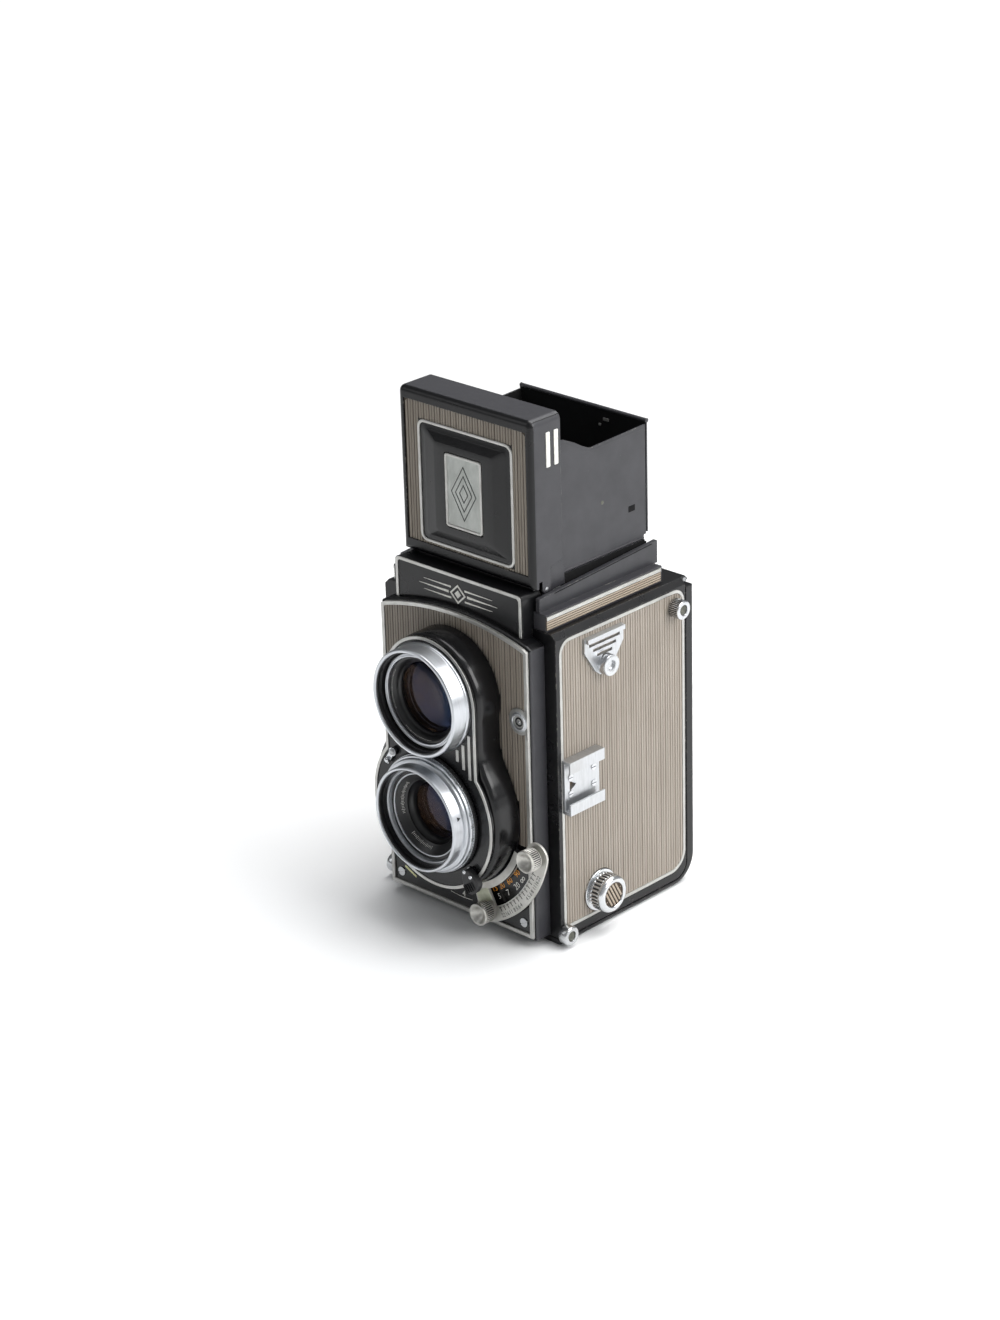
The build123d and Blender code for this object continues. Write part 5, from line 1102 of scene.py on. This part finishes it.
# plate behind the socket: an arc with an ear above and below at its right
ear = [(36.25, 98.4), (35.9, 96.6), (35.0, 94.6)]
for i in range(25):
    a = math.radians(60 + i * 10)
    ear.append((FLASH_SOCKET[0] + 4.75 * math.cos(a), FLASH_SOCKET[1] + 4.75 * math.sin(a)))
ear += [(35.0, 85.4), (35.9, 83.4), (36.25, 81.6)]
slab("flash_socket_ear", ear, "y", 0.3, -0.14, "trim", "body", bevel=0.16, slot="bright_trim")
lathe("flash_socket_insulator", "y", FLASH_SOCKET, "knurl_black", "body",
      [(2.59, 1.0), (2.59, 0.1), (2.2, 0.05), (1.85, 0.05), (1.75, -0.35), (1.25, -0.4),
       (1.05, -0.1), (1.0, 0.6), (0, 0.6)], seg=48, slot="black_matte")
lathe("flash_socket_pin", "y", FLASH_SOCKET, "chrome", "body",
      [(0.55, 0.7), (0.55, -0.2), (0.4, -0.38), (0, -0.42)], seg=24, slot="chrome")

# ------------------------------------------------------------------ nameplate ornament
ORNAMENT_BACK = 3.62
# tapering lines: (inner x, outer x, height from the centre, half thickness at the inner end)
LINES = ((3.4, 17.0, 2.1, 0.34), (4.6, 19.5, 0.0, 0.46), (3.4, 17.0, -2.1, 0.34))
parts = []
for inner_x, outer_x, rise, thick in LINES:
    z = NAMEPLATE_Z + rise
    for side in (-1, 1):
        parts.append(prism([(side * inner_x, z - thick), (side * outer_x, z - 0.05),
                            (side * outer_x, z + 0.05), (side * inner_x, z + thick)],
                           ORNAMENT_BACK, 3.48))
outer, inner = (lozenge(r * 1.05, r, NAMEPLATE_Z) for r in (3.7, 2.9))
for i in range(4):
    j = (i + 1) % 4
    parts.append(prism([outer[i], outer[j], inner[j], inner[i]], ORNAMENT_BACK, 3.44))
parts.append(prism(lozenge(1.6, 1.5, NAMEPLATE_Z), ORNAMENT_BACK, 3.4))
make("nameplate_ornament", *merge(parts), "ink_white", "body", slot="bright_trim")


# ------------------------------------------------------------------ knobs and studs on the sides
def face_insert(name, centre, radius, x, side, tilt, body):
    """Ribbed covering let into the end of a knob, its ribs tilted in degrees."""
    pitch, half_width = 1.42, 0.38
    cd, cz = centre
    turn = math.radians(tilt)
    along = (math.cos(turn), math.sin(turn))
    across = (-along[1], along[0])
    items = []
    reach = int(radius / pitch)
    for k in range(-reach, reach + 1):
        offset = k * pitch
        half = math.sqrt(max(radius * radius - (abs(offset) + 0.42) ** 2, 0.01))
        items.append(((x, cd + across[0] * offset, cz + across[1] * offset),
                      (0, along[0] * half, along[1] * half),
                      (0, across[0] * half_width, across[1] * half_width), (0.16, 0, 0)))
    round_edges(bars(name, items, "rib_strip", body, slot="ribbed_covering"), 0.1)
    low, high = x - side * 0.36, x - side * 0.14
    lathe(name + "_back", "x", centre, "groove_dark", body,
          [(0, low), (radius + 0.1, low), (radius + 0.1, high), (0, high)],
          seg=48, slot="ribbed_covering")


lathe("supply_knob_turned", "x", SUPPLY_KNOB, "chrome_supply", "supply_pin",
      [(0, 29.5), (2.4, 29.5), (2.4, 42.2), (7.95, 42.2), (8.12, 42.4), (8.12, 42.9),
       (7.9, 43.15), (6.9, 43.2), (6.55, 43.5), (6.6, 43.9), (7.1, 44.1), (7.25, 44.4, 0.5),
       (7.25, 47.3, 0.5), (7.0, 47.5), (7.15, 47.7), (7.18, 48.2), (7.0, 48.8), (6.6, 49.4),
       (6.1, 49.72), (5.4, 49.8), (5.0, 49.7), (4.8, 49.45), (4.78, 48.95), (0, 48.9)],
      teeth=30, slot="chrome", replaces="supply_knob")
face_insert("supply_knob_insert", SUPPLY_KNOB, radius=4.6, x=49.3, side=1, tilt=-62,
            body="supply_pin")
lathe("wind_knob_turned", "x", WIND_KNOB, "chrome_wind", "winder",
      [(0, -30.6), (2.4, -30.6), (3.0, -33.3), (3.0, -42.6), (8.8, -42.6), (9.0, -42.8),
       (9.0, -44.0), (9.6, -44.25), (10.0, -44.7, 0.5), (10.0, -51.0, 0.5), (9.7, -51.6),
       (9.0, -52.2), (8.4, -52.6), (7.0, -52.62), (6.65, -52.4), (6.55, -52.0), (0, -51.95)],
      teeth=48, slot="chrome", replaces="wind_knob")
face_insert("wind_knob_insert", WIND_KNOB, radius=6.4, x=-52.3, side=-1, tilt=0, body="winder")

# (position, outer end, inner end, neck radius, knurl depth)
CASE_STUDS = {"upper": (UPPER_STUD, 47.5, 42.05, 2.0, 0.28),
              "lower": (LOWER_STUD, 46.5, 42.52, 1.6, 0.0)}
for side, word in SIDES:
    for tag, (centre, end, root, neck, knurl) in CASE_STUDS.items():
        lathe("case_stud_%s_%s" % (word, tag), "x", centre, "chrome", "body", flip(
            [(0, root), (neck, root), (neck, 42.6), (3.3, 42.62), (3.5, 42.8),
             (3.68, 43.1, knurl), (3.68, end - 0.7, knurl), (3.55, end - 0.3),
             (3.3, end - 0.05), (3.05, end), (2.3, end), (2.0, end - 0.15),
             (1.85, end - 0.5), (1.8, end - 0.95), (0, end - 1.0)], side),
            teeth=30, slot="chrome", replaces="case_studs")
        lathe("case_stud_core_%s_%s" % (word, tag), "x", centre, "stud_core", "body", flip(
            [(0, end - 1.02), (1.78, end - 1.0), (1.78, end - 0.62), (1.6, end - 0.5),
             (0, end - 0.46)], side), seg=32, slot="steel")
    lathe("strap_stud_" + word, "x", STRAP_STUD, "chrome", "body", flip(
        [(3.0, 43.58), (3.96, 43.62), (3.98, 43.9), (3.98, 46.5), (3.86, 46.85), (3.6, 47.03),
         (2.5, 47.06), (2.15, 46.9), (1.95, 46.5), (1.86, 46.05), (0, 46.02)], side),
        seg=64, slot="chrome")

# ------------------------------------------------------------------ hood lid
trim_frame("lid_trim_frame", rounded_rect((0, LID_Z), (23.25, 23.25), 3.4, seg=10),
           rounded_rect((0, LID_Z), (22.15, 22.15), 2.4, seg=10),
           9.4, 8.95, bevel=0.2, replaces="lid_trim")
# raised centre, flat margin to badge bed: (half width, half height, corner radius, depth)
RAISED_CENTRE = ((22.3, 22.3, 2.4, 9.42), (22.2, 22.2, 2.4, 9.36), (20.4, 20.4, 2.0, 9.33),
                 (20.0, 20.0, 1.8, 9.28), (14.6, 16.9, 1.4, 8.18), (14.1, 16.4, 1.3, 8.10),
                 (9.35, 14.35, 1.3, 8.06), (9.2, 14.2, 1.2, 8.12), (9.15, 14.15, 1.2, 9.3))
make("lid_raised_centre",
     *loft([[place(p, d) for p in rounded_rect((0, BADGE_Z), (half_x, half_z), radius, seg=6)]
            for half_x, half_z, radius, d in RAISED_CENTRE]),
     "board", "lid", slot="black_paint", sharp=8.0)
# badge: a bright rim round a matte field with nested lozenges
trim_frame("lid_badge_rim", rounded_rect((0, BADGE_Z), (8.95, 13.9), 1.2, seg=6),
           rounded_rect((0, BADGE_Z), (7.95, 12.9), 0.7, seg=6),
           9.0, 7.75, bevel=0.28, replaces="lid_badge")
slab("lid_badge_field", rounded_rect((0, BADGE_Z), (7.98, 12.93), 0.7, seg=6), "y", 9.0, 8.08,
     "badge", "lid", slot="badge_metal")
LOZENGE_LINE = 0.32
parts = []
for half_x, half_z in ((6.2, 10.4), (4.2, 7.0), (2.2, 3.6)):
    outer = lozenge(half_x, half_z, BADGE_Z)
    inner = lozenge(half_x - LOZENGE_LINE * 1.15, half_z - LOZENGE_LINE * 1.9, BADGE_Z)
    parts.append(loft([[place(p, d) for p in ring] for ring, d in (
        (outer, 8.12), (outer, 7.96), (inner, 7.96), (inner, 8.12))], wrap=True))
make("lid_badge_pattern", *merge(parts), "badge_line", "lid", slot="badge_metal")
for side, word in SIDES:
    for k, d in enumerate((17.4, 21.5)):
        slab("lid_side_bar_%s_%d" % (word, k + 1),
             rounded_rect((d, 187.85), (1.0, 6.45), 0.35, seg=4), "x", side * 32.42,
             side * 32.8, "ink_white", "lid", bevel=0.15, slot="bright_trim")
    lathe("lid_hinge_rivet_" + word, "x", (15.5, 136.2), "steel", "lid", flip(
        [(0, 32.4), (0.85, 32.45), (0.85, 32.6), (0.55, 32.75), (0, 32.8)], side),
        seg=24, slot="steel")

# ------------------------------------------------------------------ hood flaps
FLAP_X = 30.9                   # outer face of the side flaps
# (d, z) along the pressed crease, then (drop, how far it stands out) across it
CREASE = ((26.0, 187.4), (30.0, 186.1), (33.5, 184.1), (37.5, 181.6), (41.0, 180.3),
          (69.0, 181.0))
CREASE_SECTION = ((0.0, 0.0), (0.35, 0.11), (0.7, 0.0))
for side, word in SIDES:
    body = "flap_" + word
    lathe("flap_rivet_" + word, "x", (46.8, 159.1), "stud_core", body, flip(
        [(0, FLAP_X - 0.05), (0.75, FLAP_X), (0.7, FLAP_X + 0.1), (0.4, FLAP_X + 0.17),
         (0, FLAP_X + 0.18)], side), seg=24, slot="steel")
    bars("flap_catch_hole_" + word,
         [((side * (FLAP_X + 0.01), 62.4, 152.3), (0, 1.7, 0), (0, 0, 1.15), (0.06, 0, 0))],
         "matte", body)
    verts = [(side * (FLAP_X + lift), d, z + 0.35 - drop)
             for d, z in CREASE for drop, lift in CREASE_SECTION]
    faces = [(3 * i + k, 3 * i + k + 1, 3 * i + k + 4, 3 * i + k + 3)
             for i in range(len(CREASE) - 1) for k in range(2)]
    make("flap_pressed_crease_" + word, verts, faces, "hood", body, sharp=60,
         slot="black_paint")
bars("rear_flap_catch", [((12.0, 70.15, 179.6), (1.3, 0, 0), (0, 0, 0.5), (0, 0.22, 0)),
                         ((9.0, 70.1, 177.2), (0.5, 0, 0), (0, 0, 0.4), (0, 0.25, 0))],
     "trim", "flap_rear", slot="steel")
for side, word in SIDES:
    lathe("rear_flap_roll_end_" + word, "x", (71.0, 183.4), "hood", "flap_rear", flip(
        [(0, 30.6), (0.82, 30.7), (0.88, 30.85), (0.72, 31.05), (0.4, 31.17), (0, 31.2)],
        side), seg=24, slot="black_paint")
for side, word in SIDES:
    slab("lid_hinge_gusset_" + word,
         [(17.4, 134.2), (26.0, 134.8), (26.0, 142.0), (24.6, 145.6), (17.4, 144.2)],
         "x", side * 30.97, side * 31.25, "hood", "body", slot="black_paint")
# painted shadow: dark matte strips along both sides of the rim stand in for the shaded slit
# between the flap and the rim
for side, word in SIDES:
    bars("rim_slit_painted_shadow_" + word,
         [((side * 34.62, 43.0, 136.0), (0, 26.0, 1.45), (0, -0.008, 0.16), (0.05, 0, 0))],
         "matte", "body")

# ------------------------------------------------------------------ floor and world, in metres
FLOOR_HALF, FLOOR_Z = 9.0, -0.0002
BACKDROP = 1.05                 # brightness the camera sees beyond the lit floor


def floor_material():
    """White floor that fades, for camera rays only, into an even glow away from the origin."""
    material, graph, shader = new_material("floor_white")
    coords = graph.coords("Object")
    tone = graph.ramp(graph.noise(coords, scale=3.0, detail=3.0), 0.3, 0.7)
    graph.fill(shader, {
        "Base Color": graph.mix(tone, linear((250, 250, 250)), linear((246, 247, 248))),
        "Roughness": 0.6, "Specular IOR Level": 0.25})
    distance = graph.node("ShaderNodeVectorMath", {0: coords},
                          operation="LENGTH").outputs["Value"]
    far_off = graph.ramp(distance, 0.26, 0.62)
    camera_ray = graph.node("ShaderNodeLightPath").outputs["Is Camera Ray"]
    glow = graph.node("ShaderNodeEmission", {0: (1, 1, 1, 1), 1: BACKDROP})
    blend = graph.node("ShaderNodeMixShader", {
        0: graph.math("MULTIPLY", far_off, camera_ray), 1: shader.outputs[0],
        2: glow.outputs[0]})
    graph.fill(graph.output, {0: blend.outputs[0]})
    return material


mesh = bpy.data.meshes.new("floor")
mesh.from_pydata([(x * FLOOR_HALF, y * FLOOR_HALF, FLOOR_Z)
                  for x, y in ((-1, -1), (1, -1), (1, 1), (-1, 1))], [], [(0, 1, 2, 3)])
floor = bpy.data.objects.new("floor", mesh)
bpy.context.scene.collection.objects.link(floor)
mesh.materials.append(floor_material())


def studio_world():
    """White to the camera; for lighting, a soft grey that brightens toward +X."""
    world = bpy.data.worlds.new("studio")
    bpy.context.scene.world = world
    graph = Graph(world, "ShaderNodeOutputWorld")
    camera_ray = graph.node("ShaderNodeLightPath").outputs["Is Camera Ray"]
    seen = graph.node("ShaderNodeBackground", {0: (1, 1, 1, 1), 1: BACKDROP})
    strength = graph.ramp(graph.split(graph.coords("Generated"))[0], -1.0, 1.0, 0.10, 0.52)
    light = graph.node("ShaderNodeBackground", {0: (0.97, 0.985, 1.0, 1), 1: strength})
    blend = graph.node("ShaderNodeMixShader", {
        0: camera_ray, 1: light.outputs[0], 2: seen.outputs[0]})
    graph.fill(graph.output, {0: blend.outputs[0]})


studio_world()


# ------------------------------------------------------------------ lights and camera, in metres
def area_light(name, location, target, size, power, colour=(1, 1, 1)):
    """Rectangular light of (width, height) aimed at a target; power in watts."""
    light = bpy.data.lights.new(name, "AREA")
    light.energy = power
    light.color = colour
    light.shape = "RECTANGLE"
    light.size, light.size_y = size
    ob = bpy.data.objects.new(name, light)
    ob.location = location
    aim = Vector(target) - Vector(location)
    ob.rotation_euler = aim.to_track_quat("-Z", "Y").to_euler()
    bpy.context.scene.collection.objects.link(ob)


area_light("key_right", location=(1.25, 0.30, 0.85), target=(0.0, 0.0, 0.09), size=(0.9, 0.9),
           power=16.0, colour=(1.0, 0.997, 0.992))
area_light("top_soft", location=(0.1, 0.45, 1.45), target=(0.0, 0.0, 0.05), size=(1.3, 1.3),
           power=27.0)
area_light("front_left_strip", location=(-0.9, -1.1, 0.9), target=(0.0, 0.0, 0.08),
           size=(0.5, 0.9), power=1.8, colour=(0.98, 0.99, 1.0))

CAMERA_PLACE = (0.809646, -0.850764, 0.604060)
CAMERA_RIGHT = (0.7233884, 0.68995795, -0.02583108)
CAMERA_UP = (-0.25962468, 0.30648991, 0.91578325)
CAMERA_BACK = (0.6397689, -0.6557606, 0.40084135)
camera_data = bpy.data.cameras.new("camera")
camera_data.lens = 94.72        # millimetres
camera_data.sensor_width = 36.0
camera_data.clip_start = 0.05
camera_data.clip_end = 60.0
camera = bpy.data.objects.new("camera", camera_data)
turn = Matrix((CAMERA_RIGHT, CAMERA_UP, CAMERA_BACK)).transposed()
camera.matrix_world = Matrix.Translation(CAMERA_PLACE) @ turn.to_4x4()
scene = bpy.context.scene
scene.collection.objects.link(camera)
scene.camera = camera
scene.view_settings.view_transform = "Standard"
scene.view_settings.look = "None"
